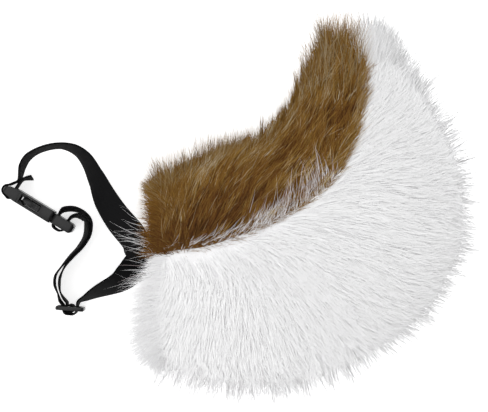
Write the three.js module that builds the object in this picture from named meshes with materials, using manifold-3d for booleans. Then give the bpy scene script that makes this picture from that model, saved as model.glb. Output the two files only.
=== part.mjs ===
// Costume animal tail on an adjustable belt, laid on its side: a stuffed, curled body of white
// long-pile fur with a brown fur panel along the inside of the curl, sewn to a black webbing
// belt that closes with a side-release buckle and is set by a three-bar slider.
// Millimetres, +Z up. The wearer's back is on the -X side, and the tail curls up towards +Y.
// The origin is under the middle of the whole, on the surface that it lies on.

import * as THREE from 'three';
import { mergeVertices } from 'three/addons/utils/BufferGeometryUtils.js';
import Module from 'manifold-3d';

const wasm = await Module();
wasm.setup();

// Tail body
const TAIL_LENGTH = 284;        // along the middle of the curl, root face to tip
const INNER_REACH = 85;         // middle of the curl to its inner side, at the widest
const OUTER_REACH = 104;        // middle of the curl to its outer side, at the widest
const BODY_THICKNESS = 105;     // across the curl, at the thickest
const SETTLE = 5;               // how far the stuffing flattens where it lies
const SEAM_GAP = 0.3;           // between the brown panel and the white fur
const ROOT_X = 16;              // the flat root face, that the belt is sewn to
const ROOT_Y = -3;

// Fur locks
const WHITE_LOCK = { length: 38, width: 32, depth: 10 };
const BROWN_LOCK = { length: 31, width: 26, depth: 8 };
const ROOT_LOCK = { length: 29, width: 25, depth: 6 };
const LONG_ROOT_LOCK = { length: 60, width: 25, depth: 6 };
const LOCK_ROOT = 5;            // how deep a lock is rooted under the surface
const WHITE_PITCH = { rows: 17, across: 31 };   // rows of locks, and the room each takes
const BROWN_PITCH = { rows: 10, across: 22 };

// Belt
const WEB_WIDTH = 25;
const WEB_THICKNESS = 1.5;
const WEB_STEP = 6;             // longest straight piece of webbing between two bends
const SEAT_GAP = 0.35;          // between the webbing and what it lies on
const BAND_TOP = 59;            // the stretch that is sewn across the root face
const BAND_BOTTOM = 27;
const BAND_Y = 1;
const LOOP_REACH = 110;         // root face to the far end of the loop
const LOOP_SPREAD = 90;         // root to the top of the loop

// Side-release buckle
const BUCKLE_WIDTH = 33.5;
const SOCKET_LENGTH = 45;
const SOCKET_THICKNESS = 10.1;
const PLUG_LENGTH = 19;         // what shows of the plug outside the socket
const PLUG_THICKNESS = 8.2;
const END_BAR = 6.6;            // diameter of the socket's end bar
const SLOT_LENGTH = 2.7;
const SLOT_SIDE = 0.6;          // room beside the webbing in each slot
const WALL = 2.9;               // side walls of the socket
const PLATE = 2.15;             // its two face plates
const FIT = 0.35;               // running clearance of the plug in the socket
const WINDOW = { start: 15, end: 33.6 };
const BUCKLE_TURN = -31.5;      // degrees

// Three-bar slider
const SLIDER_LENGTH = 23;
const SLIDER_WIDTH = 31;
const SLIDER_THICKNESS = 3.2;
const SLIDER_RIM = 3;
const SLIDER_BAR = 3.5;
const SLIDER_TURN = -4;         // degrees

const { degToRad, lerp } = THREE.MathUtils;

function table(columns, rows) {
  return rows.map((row) => Object.fromEntries(columns.map((name, i) => [name, row[i]])));
}

function solid(geometry) {
  const bare = geometry.index ? geometry.clone() : geometry;
  for (const name of ['normal', 'uv']) bare.deleteAttribute(name);
  const joined = mergeVertices(bare, 1e-4);
  return new wasm.Manifold(new wasm.Mesh({
    numProp: 3,
    vertProperties: new Float32Array(joined.attributes.position.array),
    triVerts: new Uint32Array(joined.index.array),
  }));
}

function geometryOf(manifold) {
  const mesh = manifold.getMesh();
  const geometry = new THREE.BufferGeometry();
  geometry.setAttribute('position', new THREE.BufferAttribute(mesh.vertProperties, 3));
  geometry.setIndex(new THREE.BufferAttribute(mesh.triVerts, 1));
  geometry.computeVertexNormals();
  return geometry;
}

function join(pieces) {
  return pieces.reduce((whole, piece) => whole.add(piece));
}

// Closes the pockets of air that crossing locks shut in, which are shells turned inside out.
function withoutPockets(whole) {
  return join(whole.decompose().filter((shell) => shell.volume() > 0));
}

// A closed skin over rings of points, each ring as long as the next, with a flat cap at each end.
// A ring runs counterclockwise as seen from the end of the row of rings.
function loft(rings) {
  const count = rings[0].length;
  const index = [];
  for (let row = 0; row < rings.length - 1; row++) {
    for (let i = 0; i < count; i++) {
      const a = row * count + i;
      const b = row * count + (i + 1) % count;
      index.push(a, b, b + count, a, b + count, a + count);
    }
  }
  const last = (rings.length - 1) * count;
  for (let i = 1; i < count - 1; i++) {
    index.push(0, i + 1, i, last, last + i, last + i + 1);
  }
  const geometry = new THREE.BufferGeometry().setFromPoints(rings.flat());
  geometry.setIndex(index);
  return geometry;
}

function box(from, to) {
  const size = to.map((value, i) => value - from[i]);
  const middle = to.map((value, i) => (value + from[i]) / 2);
  return new THREE.BoxGeometry(...size).translate(...middle);
}

// A repeatable spread of values between -1 and 1, for locks that differ from one another.
function scatter(a, b) {
  const wave = Math.sin(a * 127.1 + b * 311.7) * 43758.5453;
  return 2 * (wave - Math.floor(wave)) - 1;
}

// ---- The curl: its middle line, its sections and the seam, evenly spaced from root to tip.
// heading: degrees from +X. inner, seam: shares of INNER_REACH, the seam's from the middle line
// inwards. outer: share of OUTER_REACH. thick: share of BODY_THICKNESS. combIn, combOut: degrees
// by which the brown and the white hair lean away from the seam, off the way to the tip.
const CURL = table(['heading', 'inner', 'outer', 'thick', 'seam', 'combIn', 'combOut'], [
  [0, 0.68, 0.72, 0.86, 0.09, 78, 108],
  [-5, 0.94, 0.79, 0.93, 0.15, 70, 98],
  [6, 1.0, 0.87, 0.98, 0.23, 62, 88],
  [20, 1.0, 0.94, 1.0, 0.27, 54, 79],
  [35, 0.99, 0.97, 1.0, 0.265, 46, 71],
  [50, 0.93, 1.0, 0.98, 0.21, 39, 65],
  [63, 0.86, 0.94, 0.94, 0.12, 33, 59],
  [76, 0.77, 0.77, 0.85, 0.07, 27, 52],
  [87, 0.65, 0.54, 0.71, 0.01, 21, 43],
  [94, 0.51, 0.35, 0.54, -0.018, 15, 32],
  [100, 0.28, 0.14, 0.27, 0, 8, 16],
]);

function curl(share, column) {
  const place = THREE.MathUtils.clamp(share, 0, 1) * (CURL.length - 1);
  const row = Math.min(Math.floor(place), CURL.length - 2);
  return lerp(CURL[row][column], CURL[row + 1][column], place - row);
}

const LINE_STEPS = 60;
const middleLine = [new THREE.Vector2(ROOT_X, ROOT_Y)];
for (let i = 0; i < LINE_STEPS; i++) {
  const heading = degToRad(curl((i + 0.5) / LINE_STEPS, 'heading'));
  const step = new THREE.Vector2(Math.cos(heading), Math.sin(heading));
  middleLine.push(middleLine[i].clone().addScaledVector(step, TAIL_LENGTH / LINE_STEPS));
}

// The frame of a section: its middle, the way to the tip, and the way to the inner side.
function frameAt(share) {
  const heading = degToRad(curl(share, 'heading'));
  const tipward = new THREE.Vector3(Math.cos(heading), Math.sin(heading), 0);
  const inward = new THREE.Vector3(-tipward.y, tipward.x, 0);
  const place = THREE.MathUtils.clamp(share, 0, 1) * LINE_STEPS;
  const step = Math.min(Math.floor(place), LINE_STEPS - 1);
  const middle = middleLine[step].clone().lerp(middleLine[step + 1], place - step);
  const beyond = (share - THREE.MathUtils.clamp(share, 0, 1)) * TAIL_LENGTH;
  const origin = new THREE.Vector3(middle.x, middle.y, 0).addScaledVector(tipward, beyond);
  return { origin, tipward, inward };
}

// A point of the oval section. angle: 0 at the inner side, 90 on top, 180 at the outer side.
function sectionPoint(share, angle) {
  const { origin, inward } = frameAt(share);
  const turn = degToRad(angle);
  const reach = Math.cos(turn) > 0
    ? INNER_REACH * curl(share, 'inner') : OUTER_REACH * curl(share, 'outer');
  const half = BODY_THICKNESS * curl(share, 'thick') / 2;
  const height = Math.max(0, half - SETTLE + half * Math.sin(turn));
  return origin.clone().addScaledVector(inward, reach * Math.cos(turn)).setZ(height);
}

function seamAngle(share, gap) {
  const seam = INNER_REACH * curl(share, 'seam') + gap;
  const reach = seam > 0
    ? INNER_REACH * curl(share, 'inner') : OUTER_REACH * curl(share, 'outer');
  return THREE.MathUtils.radToDeg(Math.acos(seam / reach));
}

const SECTIONS = 24;
const shares = Array.from({ length: SECTIONS + 1 }, (_, i) => i / SECTIONS);

function bodyPart(anglesAt, segments) {
  return solid(loft(shares.map((share) => {
    const [from, to] = anglesAt(share);
    return Array.from({ length: segments + 1 }, (_, i) => (
      sectionPoint(share, lerp(from, to, i / segments))));
  })));
}

const brownBody = bodyPart((share) => {
  const seam = seamAngle(share, SEAM_GAP / 2);
  return [-seam, seam];
}, 10);
const whiteBody = bodyPart((share) => {
  const seam = seamAngle(share, -SEAM_GAP / 2);
  return [seam, 360 - seam];
}, 18);

// Everything on the white side of the seam, well past the fur on every other side.
function whiteSide(gap) {
  const past = [-0.3, -0.15, ...shares, 1.1, 1.25];
  return solid(loft(past.map((share) => {
    const { origin, inward } = frameAt(share);
    const seam = INNER_REACH * curl(share, 'seam') + gap;
    return [[seam, -1], [seam, 2], [-2 * OUTER_REACH, 2], [-2 * OUTER_REACH, -1]].map(
      ([side, level]) => (
        origin.clone().addScaledVector(inward, side).setZ(level * BODY_THICKNESS)));
  })));
}

// One lock of fur: a flattened, bowed taper that is rooted under the surface at a point and
// leaves the way to the tip by the comb in degrees. side: 1 inwards in the curl, -1 outwards.
function lock(share, angle, size, side, combed, seed) {
  const { tipward, inward } = frameAt(share);
  const point = sectionPoint(share, angle);
  const ahead = sectionPoint(share + 0.01, angle).sub(sectionPoint(share - 0.01, angle));
  const around = sectionPoint(share, angle + 1).sub(sectionPoint(share, angle - 1));
  const normal = around.cross(ahead).normalize();
  const comb = degToRad(combed + 12 * scatter(seed, 1));
  const flow = tipward.clone().multiplyScalar(Math.cos(comb))
    .addScaledVector(inward, side * Math.sin(comb))
    .addScaledVector(normal, 0.24 + 0.08 * scatter(seed, 2)).normalize();
  const flat = new THREE.Vector3(0, 0, 0.6).add(normal);
  const breadth = flow.clone().cross(flat).normalize();
  const up = breadth.clone().cross(flow);
  const long = size.length * (1 + 0.16 * scatter(seed, 3));
  const cone = new THREE.ConeGeometry(0.5, 1, 4, 2);
  const position = cone.attributes.position;
  for (let i = 0; i < position.count; i++) {
    const along = position.getY(i) + 0.5;
    const full = along > 0.4 && along < 0.6 ? 1.75 : 1;
    const bow = 0.09 * long * Math.sin(Math.PI * along);
    const vertex = point.clone()
      .addScaledVector(normal, -LOCK_ROOT)
      .addScaledVector(flow, along * long - LOCK_ROOT)
      .addScaledVector(breadth, position.getX(i) * full * size.width)
      .addScaledVector(up, position.getZ(i) * full * size.depth + bow);
    position.setXYZ(i, vertex.x, vertex.y, vertex.z);
  }
  return solid(cone);
}

// Locks in staggered rows from root to tip, each row from one edge angle to the other, as many
// as its girth has room for.
function coat(size, side, anglesAt, pitch, firstShare, lastShare) {
  const locks = [];
  for (let row = 0; row < pitch.rows; row++) {
    const share = lerp(firstShare, lastShare, row / (pitch.rows - 1));
    const comb = curl(share, side > 0 ? 'combIn' : 'combOut');
    const [from, to] = anglesAt(share);
    const between = sectionPoint(share, (from + to) / 2);
    const girth = sectionPoint(share, from).distanceTo(between)
      + between.distanceTo(sectionPoint(share, to));
    const count = Math.max(3, Math.round(girth * 1.08 / pitch.across));
    for (let i = 0; i < count; i++) {
      const seed = row * 31 + i * 7 + (side > 0 ? 500 : 0);
      const place = (i + 0.5 + (row % 2 ? 0.25 : -0.25)) / count;
      const shift = Math.min(0.012 * scatter(seed, 4), 0.99 - share);
      locks.push(lock(share + shift, lerp(from, to, place), size, side, comb, seed));
    }
  }
  return locks;
}

// The ring of locks round the root, which lean back over the belt and outwards, from the short
// ones at the seam to the longest ones.
function ruff(side, from, to, longest, count) {
  return Array.from({ length: count }, (_, i) => {
    const place = (i + 0.5) / count;
    const size = { ...ROOT_LOCK, length: lerp(ROOT_LOCK.length, longest.length, place) };
    return lock(0.022, lerp(from, to, place), size, side, lerp(162, 138, place), 900 + 13 * i);
  });
}

const EDGE_UNDER = 52;      // degrees below the widest line down to which the locks run
const rootSeam = seamAngle(0.03, 0);
const whiteLocks = [
  ...coat(WHITE_LOCK, -1, (share) => (
    [seamAngle(share, -SEAM_GAP) + 6, 180 + EDGE_UNDER]), WHITE_PITCH, 0.03, 0.975),
  ...ruff(-1, rootSeam + 8, 180 + EDGE_UNDER, LONG_ROOT_LOCK, 9)];
const brownLocks = [
  ...coat(BROWN_LOCK, 1, (share) => (
    [-EDGE_UNDER, seamAngle(share, SEAM_GAP) - 6]), BROWN_PITCH, 0.035, 0.975),
  ...ruff(1, rootSeam - 8, -EDGE_UNDER, ROOT_LOCK, 6)];

const SURFACE = solid(box([-600, -600, -100], [600, 600, 0]));
const whiteFur = withoutPockets(join([whiteBody, ...whiteLocks])
  .intersect(whiteSide(-SEAM_GAP / 2)).subtract(SURFACE));
const brownFur = withoutPockets(join([brownBody, ...brownLocks])
  .subtract(whiteSide(SEAM_GAP / 2)).subtract(SURFACE));

// ---- The hardware's places: the buckle and the slider stand on their narrow sides.
const slotWidth = WEB_WIDTH + 2 * SLOT_SIDE;
const buckleAt = new THREE.Vector2(-0.99 * LOOP_REACH, 0.623 * LOOP_SPREAD);
const sliderAt = new THREE.Vector2(-0.513 * LOOP_REACH, -0.452 * LOOP_SPREAD);
const inBuckle = (along, off) => new THREE.Vector2(along, off)
  .rotateAround(new THREE.Vector2(), degToRad(BUCKLE_TURN)).add(buckleAt);
const inSlider = (along, off) => new THREE.Vector2(along, off)
  .rotateAround(new THREE.Vector2(), degToRad(SLIDER_TURN)).add(sliderAt);
const inLoop = (across, up) => new THREE.Vector2(across * LOOP_REACH, up * LOOP_SPREAD);

const plugStart = SOCKET_LENGTH + FIT;
const buckleLength = plugStart + PLUG_LENGTH;
const socketSlot = END_BAR + SLOT_LENGTH / 2;
const nearSlot = plugStart + 2.9;
const farSlot = buckleLength - 7.3;

// ---- The webbing, as one length from its loose end at the socket to its sewn end at the
// slider. A stop holds a place, a height of the webbing's middle, a lean of its upper edge from
// the vertical in degrees, and the bearing in degrees that the edge leans to.
const stops = [];
function stop(place, height, lean = 0, bearing = 0) {
  stops.push({
    point: new THREE.Vector3(place.x, place.y, height),
    across: new THREE.Vector3(
      Math.sin(degToRad(lean)) * Math.cos(degToRad(bearing)),
      Math.sin(degToRad(lean)) * Math.sin(degToRad(bearing)),
      Math.cos(degToRad(lean))),
  });
}

const layer = WEB_THICKNESS + SEAT_GAP;
const atBuckle = BUCKLE_WIDTH / 2;
const atSlider = SLIDER_WIDTH / 2;

// Through the socket's slot and round its end bar, with the loose end sewn to the incoming arm.
const wrap = END_BAR / 2 + SEAT_GAP + WEB_THICKNESS / 2;
const sewnAt = 5 * END_BAR / 3;
const ahead = socketSlot + 0.25;
stop(inBuckle(ahead + 6.2, sewnAt + 7.6), atBuckle, 9, 60);
stop(inBuckle(ahead + 3.2, sewnAt + 5.2), atBuckle, 7, 60);
stop(inBuckle(ahead + 0.7, sewnAt + 2.4), atBuckle, 3, 60);
stop(inBuckle(ahead, sewnAt), atBuckle);
stop(inBuckle(socketSlot, SOCKET_THICKNESS / 2), atBuckle);
stop(inBuckle(socketSlot, 0), atBuckle);
stop(inBuckle(socketSlot, -0.86 * wrap), atBuckle);
stop(inBuckle(END_BAR + 0.2, -1.24 * wrap), atBuckle);
stop(inBuckle(END_BAR * 0.75, -1.16 * wrap), atBuckle);
for (let turn = 262; turn >= 110; turn -= 25) {
  const angle = degToRad(turn);
  stop(inBuckle(END_BAR / 2 + wrap * Math.cos(angle), wrap * Math.sin(angle)), atBuckle);
}
stop(inBuckle(ahead - layer - 2.2, sewnAt - 3.6), atBuckle);
stop(inBuckle(ahead - layer, sewnAt), atBuckle);

// The single arm from the socket to the top of the sewn band. across, up: shares of LOOP_REACH
// and LOOP_SPREAD. rise: share of the climb from the buckle to the band.
const LONG_ARM = table(['across', 'up', 'rise', 'lean', 'bearing'], [
  [-0.862, 0.82, 0, 0, 0],
  [-0.822, 0.90, 0, 0, 0],
  [-0.73, 0.967, 0, 2, 80],
  [-0.59, 1.0, 0, 6, 85],
  [-0.475, 0.96, 0.03, 18, 60],
  [-0.396, 0.87, 0.10, 26, 40],
  [-0.324, 0.71, 0.25, 33, 25],
  [-0.258, 0.54, 0.46, 48, 28],
  [-0.16, 0.36, 0.74, 60, 38],
  [-0.04, 0.19, 1.06, 72, 50],
]);
for (const row of LONG_ARM) {
  const height = lerp(atBuckle, BAND_TOP, row.rise);
  stop(inLoop(row.across, row.up), height, row.lean, row.bearing);
}

// The band across the root face, with the webbing's turn at either end of it.
const bandX = ROOT_X - SEAT_GAP - WEB_THICKNESS / 2;
const onBand = (off, shift = 0) => new THREE.Vector2(bandX - off, BAND_Y + shift);
stop(onBand(16, 10), BAND_TOP + 6.5, 82, 52);
stop(onBand(11, 4.8), BAND_TOP + 6.6, 88, 62);
stop(onBand(5.4, 1.3), BAND_TOP + 6.2, 90, 76);
stop(onBand(1.5, 0.2), BAND_TOP + 3.8, 90, 88);
stop(onBand(0), BAND_TOP, 90, 90);
stop(onBand(0), BAND_TOP - 7, 90, 90);
stop(onBand(0), BAND_BOTTOM + 7, 90, 90);
stop(onBand(0), BAND_BOTTOM, 90, 90);
stop(onBand(1.5, -0.1), BAND_BOTTOM - 3.8, 90, 92);
stop(onBand(5.4, -1.2), BAND_BOTTOM - 6.2, 90, 103);
stop(onBand(11, -4.2), BAND_BOTTOM - 6.8, 88, 116);
stop(onBand(17.5, -8), BAND_BOTTOM - 7, 82, 127);

// The short arm from the band down to the slider.
const SHORT_ARM = table(['across', 'up', 'rise', 'lean', 'bearing'], [
  [-0.078, -0.138, 0.42, 59, 133],
  [-0.148, -0.212, 0.35, 45, 135],
  [-0.296, -0.296, 0.2, 26, 128],
  [-0.39, -0.355, 0.05, 12, 130],
]);
for (const row of SHORT_ARM) {
  const height = lerp(atSlider, BAND_BOTTOM, row.rise);
  stop(inLoop(row.across, row.up), height, row.lean, row.bearing);
}

// Down through the slider, under the end that is sewn round its middle bar, and up again.
const innerTurn = SLIDER_BAR / 2 + SEAT_GAP + WEB_THICKNESS / 2;
const innerDrop = SLIDER_THICKNESS / 2 + SEAT_GAP + WEB_THICKNESS / 2;
const outerTurn = innerTurn + layer + 0.75;
const outerDrop = innerDrop + layer;
stop(inSlider(outerTurn + 0.7, 5.4), atSlider, 3, 130);
for (const [along, off] of [[1.03, 1.8], [1, 0], [0.86, -0.66 * outerDrop], [0.5, -outerDrop],
  [0, -outerDrop], [-0.5, -outerDrop], [-0.86, -0.66 * outerDrop], [-1, 0], [-1.03, 1.8]]) {
  stop(inSlider(along * outerTurn, off), atSlider);
}

// The doubled stretch between the slider and the plug, as its middle line. apart: half the
// distance in millimetres between the two layers' middles, in webbing layers.
const DOUBLED = table(['across', 'up', 'apart', 'lean'], [
  [-0.573, -0.378, 1.0, 0],
  [-0.596, -0.315, 0.78, 3],
  [-0.611, -0.24, 1.0, 0],
  [-0.605, -0.165, 1.12, 0],
  [-0.563, -0.074, 0.8, 2],
  [-0.506, 0.011, 0.76, 5],
  [-0.44, 0.098, 0.8, 8],
  [-0.392, 0.195, 0.95, 9],
  [-0.381, 0.265, 1.0, 8],
]);
function doubled(side) {
  return DOUBLED.map((row, i) => {
    const before = DOUBLED[Math.max(i - 1, 0)];
    const after = DOUBLED[Math.min(i + 1, DOUBLED.length - 1)];
    const way = inLoop(after.across, after.up).sub(inLoop(before.across, before.up)).normalize();
    const off = new THREE.Vector2(way.y, -way.x).multiplyScalar(side * row.apart * layer);
    return { place: inLoop(row.across, row.up).add(off), lean: row.lean };
  });
}
for (const { place, lean } of doubled(-1)) stop(place, atSlider, lean, 20);

// Over and down through the plug's far slot, under its bar, up through the near slot and over.
stop(inLoop(-0.402, 0.33), atBuckle, 5, 40);
stop(inLoop(-0.448, 0.373), atBuckle, 3, 60);
stop(inLoop(-0.494, 0.37), atBuckle);
const underPlug = PLUG_THICKNESS / 2 + 1.6 + WEB_THICKNESS / 2;
const slotRun = farSlot - nearSlot;
for (const [along, off] of [[1, PLUG_THICKNESS / 2 + 0.6], [1, 0], [0.98, -0.78 * underPlug],
  [0.8, -0.99 * underPlug], [0.5, -1.04 * underPlug], [0.2, -0.99 * underPlug],
  [0.02, -0.78 * underPlug], [0, 0], [0, PLUG_THICKNESS / 2 + 0.8]]) {
  stop(inBuckle(nearSlot + along * slotRun, off), atBuckle);
}
stop(inLoop(-0.562, 0.428), atBuckle);
stop(inLoop(-0.487, 0.436), atBuckle, 2, 80);
stop(inLoop(-0.417, 0.402), atBuckle, 5, 50);
stop(inLoop(-0.372, 0.342), atBuckle, 8, 20);
for (const { place, lean } of doubled(1).reverse()) stop(place, atSlider, lean, 20);

// Round the slider's middle bar, to the sewn end.
for (const [along, off] of [[-1.05, 4.6], [-1, 1.6], [-1, 0], [-0.84, -0.76 * innerDrop],
  [-0.4, -innerDrop], [0.4, -innerDrop], [0.84, -0.76 * innerDrop], [1, 0],
  [0.84, 0.76 * innerDrop], [0.4, innerDrop], [-0.28, innerDrop + 0.1]]) {
  stop(inSlider(along * innerTurn, off), atSlider);
}

const route = new THREE.CatmullRomCurve3(stops.map(({ point }) => point), false, 'centripetal');
const stations = [];
stops.forEach((here, i) => {
  const next = stops[Math.min(i + 1, stops.length - 1)];
  const pieces = Math.max(1, Math.round(here.point.distanceTo(next.point) / WEB_STEP));
  for (let k = 0; k < (next === here ? 1 : pieces); k++) {
    const place = (i + k / pieces) / (stops.length - 1);
    const way = route.getTangent(place);
    const across = here.across.clone().lerp(next.across, k / pieces);
    across.addScaledVector(way, -across.dot(way)).normalize();
    stations.push({ middle: route.getPoint(place), across, face: way.cross(across) });
  }
});
const webbing = solid(loft(stations.map(({ middle, across, face }) => (
  [[1, 1], [-1, 1], [-1, -1], [1, -1]].map(([width, thick]) => middle.clone()
    .addScaledVector(across, width * WEB_WIDTH / 2)
    .addScaledVector(face, thick * WEB_THICKNESS / 2))))));

// ---- Side-release buckle, in its own frame: X along it from the socket's end bar, Y through
// its thickness, Z across it. A side profile is cut to the outline of a plan.
function cutTo(profile, plan, width, thickness) {
  const sides = new THREE.ExtrudeGeometry(profile, {
    depth: width, bevelEnabled: false, curveSegments: 6 });
  const faces = new THREE.ExtrudeGeometry(plan, {
    depth: thickness, bevelEnabled: false, curveSegments: 4 });
  sides.translate(0, 0, -width / 2);
  faces.rotateX(Math.PI / 2).translate(0, thickness / 2, 0);
  return solid(sides).intersect(solid(faces));
}

function roundedPlan(from, to, half, radius) {
  const shape = new THREE.Shape();
  shape.absarc(from + radius, radius - half, radius, Math.PI, 1.5 * Math.PI);
  shape.absarc(to - radius, radius - half, radius, 1.5 * Math.PI, 2 * Math.PI);
  shape.absarc(to - radius, half - radius, radius, 0, 0.5 * Math.PI);
  shape.absarc(from + radius, half - radius, radius, 0.5 * Math.PI, Math.PI);
  return shape;
}

const socketHalf = SOCKET_THICKNESS / 2;
const socketProfile = new THREE.Shape();
socketProfile.absarc(END_BAR / 2, 0, END_BAR / 2, 0.5 * Math.PI, 1.5 * Math.PI);
socketProfile.lineTo(END_BAR, -0.39 * SOCKET_THICKNESS);
socketProfile.lineTo(END_BAR + SLOT_LENGTH, -0.47 * SOCKET_THICKNESS);
socketProfile.lineTo(END_BAR + 2 * SLOT_LENGTH, -socketHalf);
socketProfile.lineTo(SOCKET_LENGTH, -socketHalf);
socketProfile.lineTo(SOCKET_LENGTH, socketHalf);
socketProfile.lineTo(END_BAR + 2 * SLOT_LENGTH, socketHalf);
socketProfile.lineTo(END_BAR + SLOT_LENGTH, 0.47 * SOCKET_THICKNESS);
socketProfile.lineTo(END_BAR, 0.39 * SOCKET_THICKNESS);
const halfWidth = BUCKLE_WIDTH / 2;
const cavityHalf = { y: socketHalf - PLATE, z: halfWidth - WALL };
const socketBlock = cutTo(
  socketProfile, roundedPlan(0, SOCKET_LENGTH, halfWidth, 2.4), BUCKLE_WIDTH, SOCKET_THICKNESS);
const waistDepth = 0.7;     // the socket is narrower between its end and its mouth
const windowHalf = cavityHalf.y + 0.7;
const socketCuts = [
  box([END_BAR, -socketHalf - 1, -slotWidth / 2],
    [END_BAR + SLOT_LENGTH, socketHalf + 1, slotWidth / 2]),
  box([WINDOW.start - 1.5, -cavityHalf.y, -cavityHalf.z],
    [SOCKET_LENGTH + 1, cavityHalf.y, cavityHalf.z]),
  box([WINDOW.start, -windowHalf, -halfWidth - 1], [WINDOW.end, windowHalf, halfWidth + 1]),
];
for (const side of [-1, 1]) {
  const inside = side * (halfWidth - waistDepth);
  const outside = side * (halfWidth + 1);
  socketCuts.push(box(
    [WINDOW.start - 2, -socketHalf - 1, Math.min(inside, outside)],
    [WINDOW.end + 0.8, socketHalf + 1, Math.max(inside, outside)]));
}
const socket = socketCuts.reduce((whole, cut) => whole.subtract(solid(cut)), socketBlock);

const plugHalf = PLUG_THICKNESS / 2;
const plugWidth = BUCKLE_WIDTH - 1;
const plugProfile = new THREE.Shape();
plugProfile.moveTo(plugStart, plugHalf);
plugProfile.lineTo(plugStart, -plugHalf);
plugProfile.absarc(buckleLength - 3, 3 - plugHalf, 3, 1.5 * Math.PI, 2 * Math.PI);
plugProfile.absarc(buckleLength - 3, plugHalf - 3, 3, 0, 0.5 * Math.PI);
let plug = cutTo(plugProfile, roundedPlan(plugStart, buckleLength, plugWidth / 2, 3.2),
  plugWidth, PLUG_THICKNESS);
for (const slot of [nearSlot, farSlot]) {
  plug = plug.subtract(solid(box([slot - SLOT_LENGTH / 2, -plugHalf - 1, -slotWidth / 2],
    [slot + SLOT_LENGTH / 2, plugHalf + 1, slotWidth / 2])));
}

// The plug's two prongs, each with a ribbed thumb pad in its window, and the guide between them.
const prongHalf = cavityHalf.y - FIT;
const padTip = WINDOW.start + 2.6;
const padEnd = WINDOW.end - FIT;
const padOut = halfWidth - waistDepth;
const prongOut = cavityHalf.z - FIT;
const PAD_RIBS = 4;
const RIB_DEPTH = 0.5;
const prong = new THREE.Shape();
prong.moveTo(plugStart + 1, prongOut - 2.8);
prong.lineTo(plugStart + 1, prongOut);
prong.lineTo(padEnd + 1.2, prongOut);
prong.lineTo(padEnd, prongOut + 0.4);
prong.lineTo(padEnd, padOut - 0.4);
const ribRun = 0.62 * (padEnd - padTip) / PAD_RIBS;
for (let rib = 0; rib < PAD_RIBS; rib++) {
  const start = padEnd - rib * ribRun;
  prong.lineTo(start - 0.1, padOut);
  prong.lineTo(start - 0.6 * ribRun, padOut);
  prong.lineTo(start - 0.7 * ribRun, padOut - RIB_DEPTH);
  prong.lineTo(start - 0.95 * ribRun, padOut - RIB_DEPTH);
}
prong.lineTo(lerp(padTip, padEnd, 0.34), padOut);
prong.lineTo(lerp(padTip, padEnd, 0.12), padOut - 1.4);
prong.lineTo(padTip, padOut - 3.2);
prong.lineTo(padTip, prongOut - 1.8);
prong.lineTo(lerp(padTip, padEnd, 0.3), prongOut - 2.4);
for (const side of [-1, 1]) {
  const arm = new THREE.ExtrudeGeometry(prong, { depth: 2 * prongHalf, bevelEnabled: false });
  arm.rotateX(Math.PI / 2).translate(0, prongHalf, 0);
  if (side < 0) arm.rotateX(Math.PI);
  plug = plug.add(solid(arm));
}
plug = plug.add(solid(box([0.55 * SOCKET_LENGTH, -prongHalf, -1.6],
  [plugStart + 1, prongHalf, 1.6])));

// ---- Three-bar slider, in its own frame: X along the webbing, Y through it, Z across it.
const sliderHalf = { x: SLIDER_LENGTH / 2, y: SLIDER_THICKNESS / 2 };
const EDGE = 0.8;           // chamfer of its two end bars
const sliderProfile = new THREE.Shape([
  [-sliderHalf.x, EDGE - sliderHalf.y], [EDGE - sliderHalf.x, -sliderHalf.y],
  [sliderHalf.x - EDGE, -sliderHalf.y], [sliderHalf.x, EDGE - sliderHalf.y],
  [sliderHalf.x, sliderHalf.y - EDGE], [sliderHalf.x - EDGE, sliderHalf.y],
  [EDGE - sliderHalf.x, sliderHalf.y], [-sliderHalf.x, sliderHalf.y - EDGE],
].map(([x, y]) => new THREE.Vector2(x, y)));
let slider = cutTo(sliderProfile, roundedPlan(-sliderHalf.x, sliderHalf.x, SLIDER_WIDTH / 2, 3),
  SLIDER_WIDTH, SLIDER_THICKNESS);
for (const side of [-1, 1]) {
  const near = side * SLIDER_BAR / 2;
  const far = side * (sliderHalf.x - SLIDER_RIM);
  slider = slider.subtract(solid(box(
    [Math.min(near, far), -SLIDER_THICKNESS, -slotWidth / 2],
    [Math.max(near, far), SLIDER_THICKNESS, slotWidth / 2])));
}

// ---- The assembly.
const whiteFurLook = new THREE.MeshStandardMaterial({ color: 0xeceaea, roughness: 0.95 });
const brownFurLook = new THREE.MeshStandardMaterial({ color: 0x6b4a22, roughness: 0.9 });
const webbingLook = new THREE.MeshStandardMaterial({ color: 0x18181a, roughness: 0.85 });
const plasticLook = new THREE.MeshStandardMaterial({ color: 0x2c2d2f, roughness: 0.45 });

const tail = new THREE.Group();
function place(name, manifold, look, at = null, height = 0, turn = 0) {
  const mesh = new THREE.Mesh(geometryOf(manifold), look);
  mesh.name = name;
  if (at) mesh.position.set(at.x, at.y, height);
  mesh.rotation.z = degToRad(turn);
  tail.add(mesh);
}
place('white_fur_body', whiteFur, whiteFurLook);
place('brown_fur_panel', brownFur, brownFurLook);
place('belt_webbing', webbing, webbingLook);
place('buckle_socket', socket, plasticLook, buckleAt, atBuckle, BUCKLE_TURN);
place('buckle_plug', plug, plasticLook, buckleAt, atBuckle, BUCKLE_TURN);
place('strap_slider', slider, plasticLook, sliderAt, atSlider, SLIDER_TURN);

tail.updateMatrixWorld(true);
const bounds = new THREE.Box3().setFromObject(tail, true);
const middle = bounds.getCenter(new THREE.Vector3()).setZ(bounds.min.z);
for (const mesh of tail.children) mesh.position.sub(middle);

export default tail;
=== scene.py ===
import math

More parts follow.
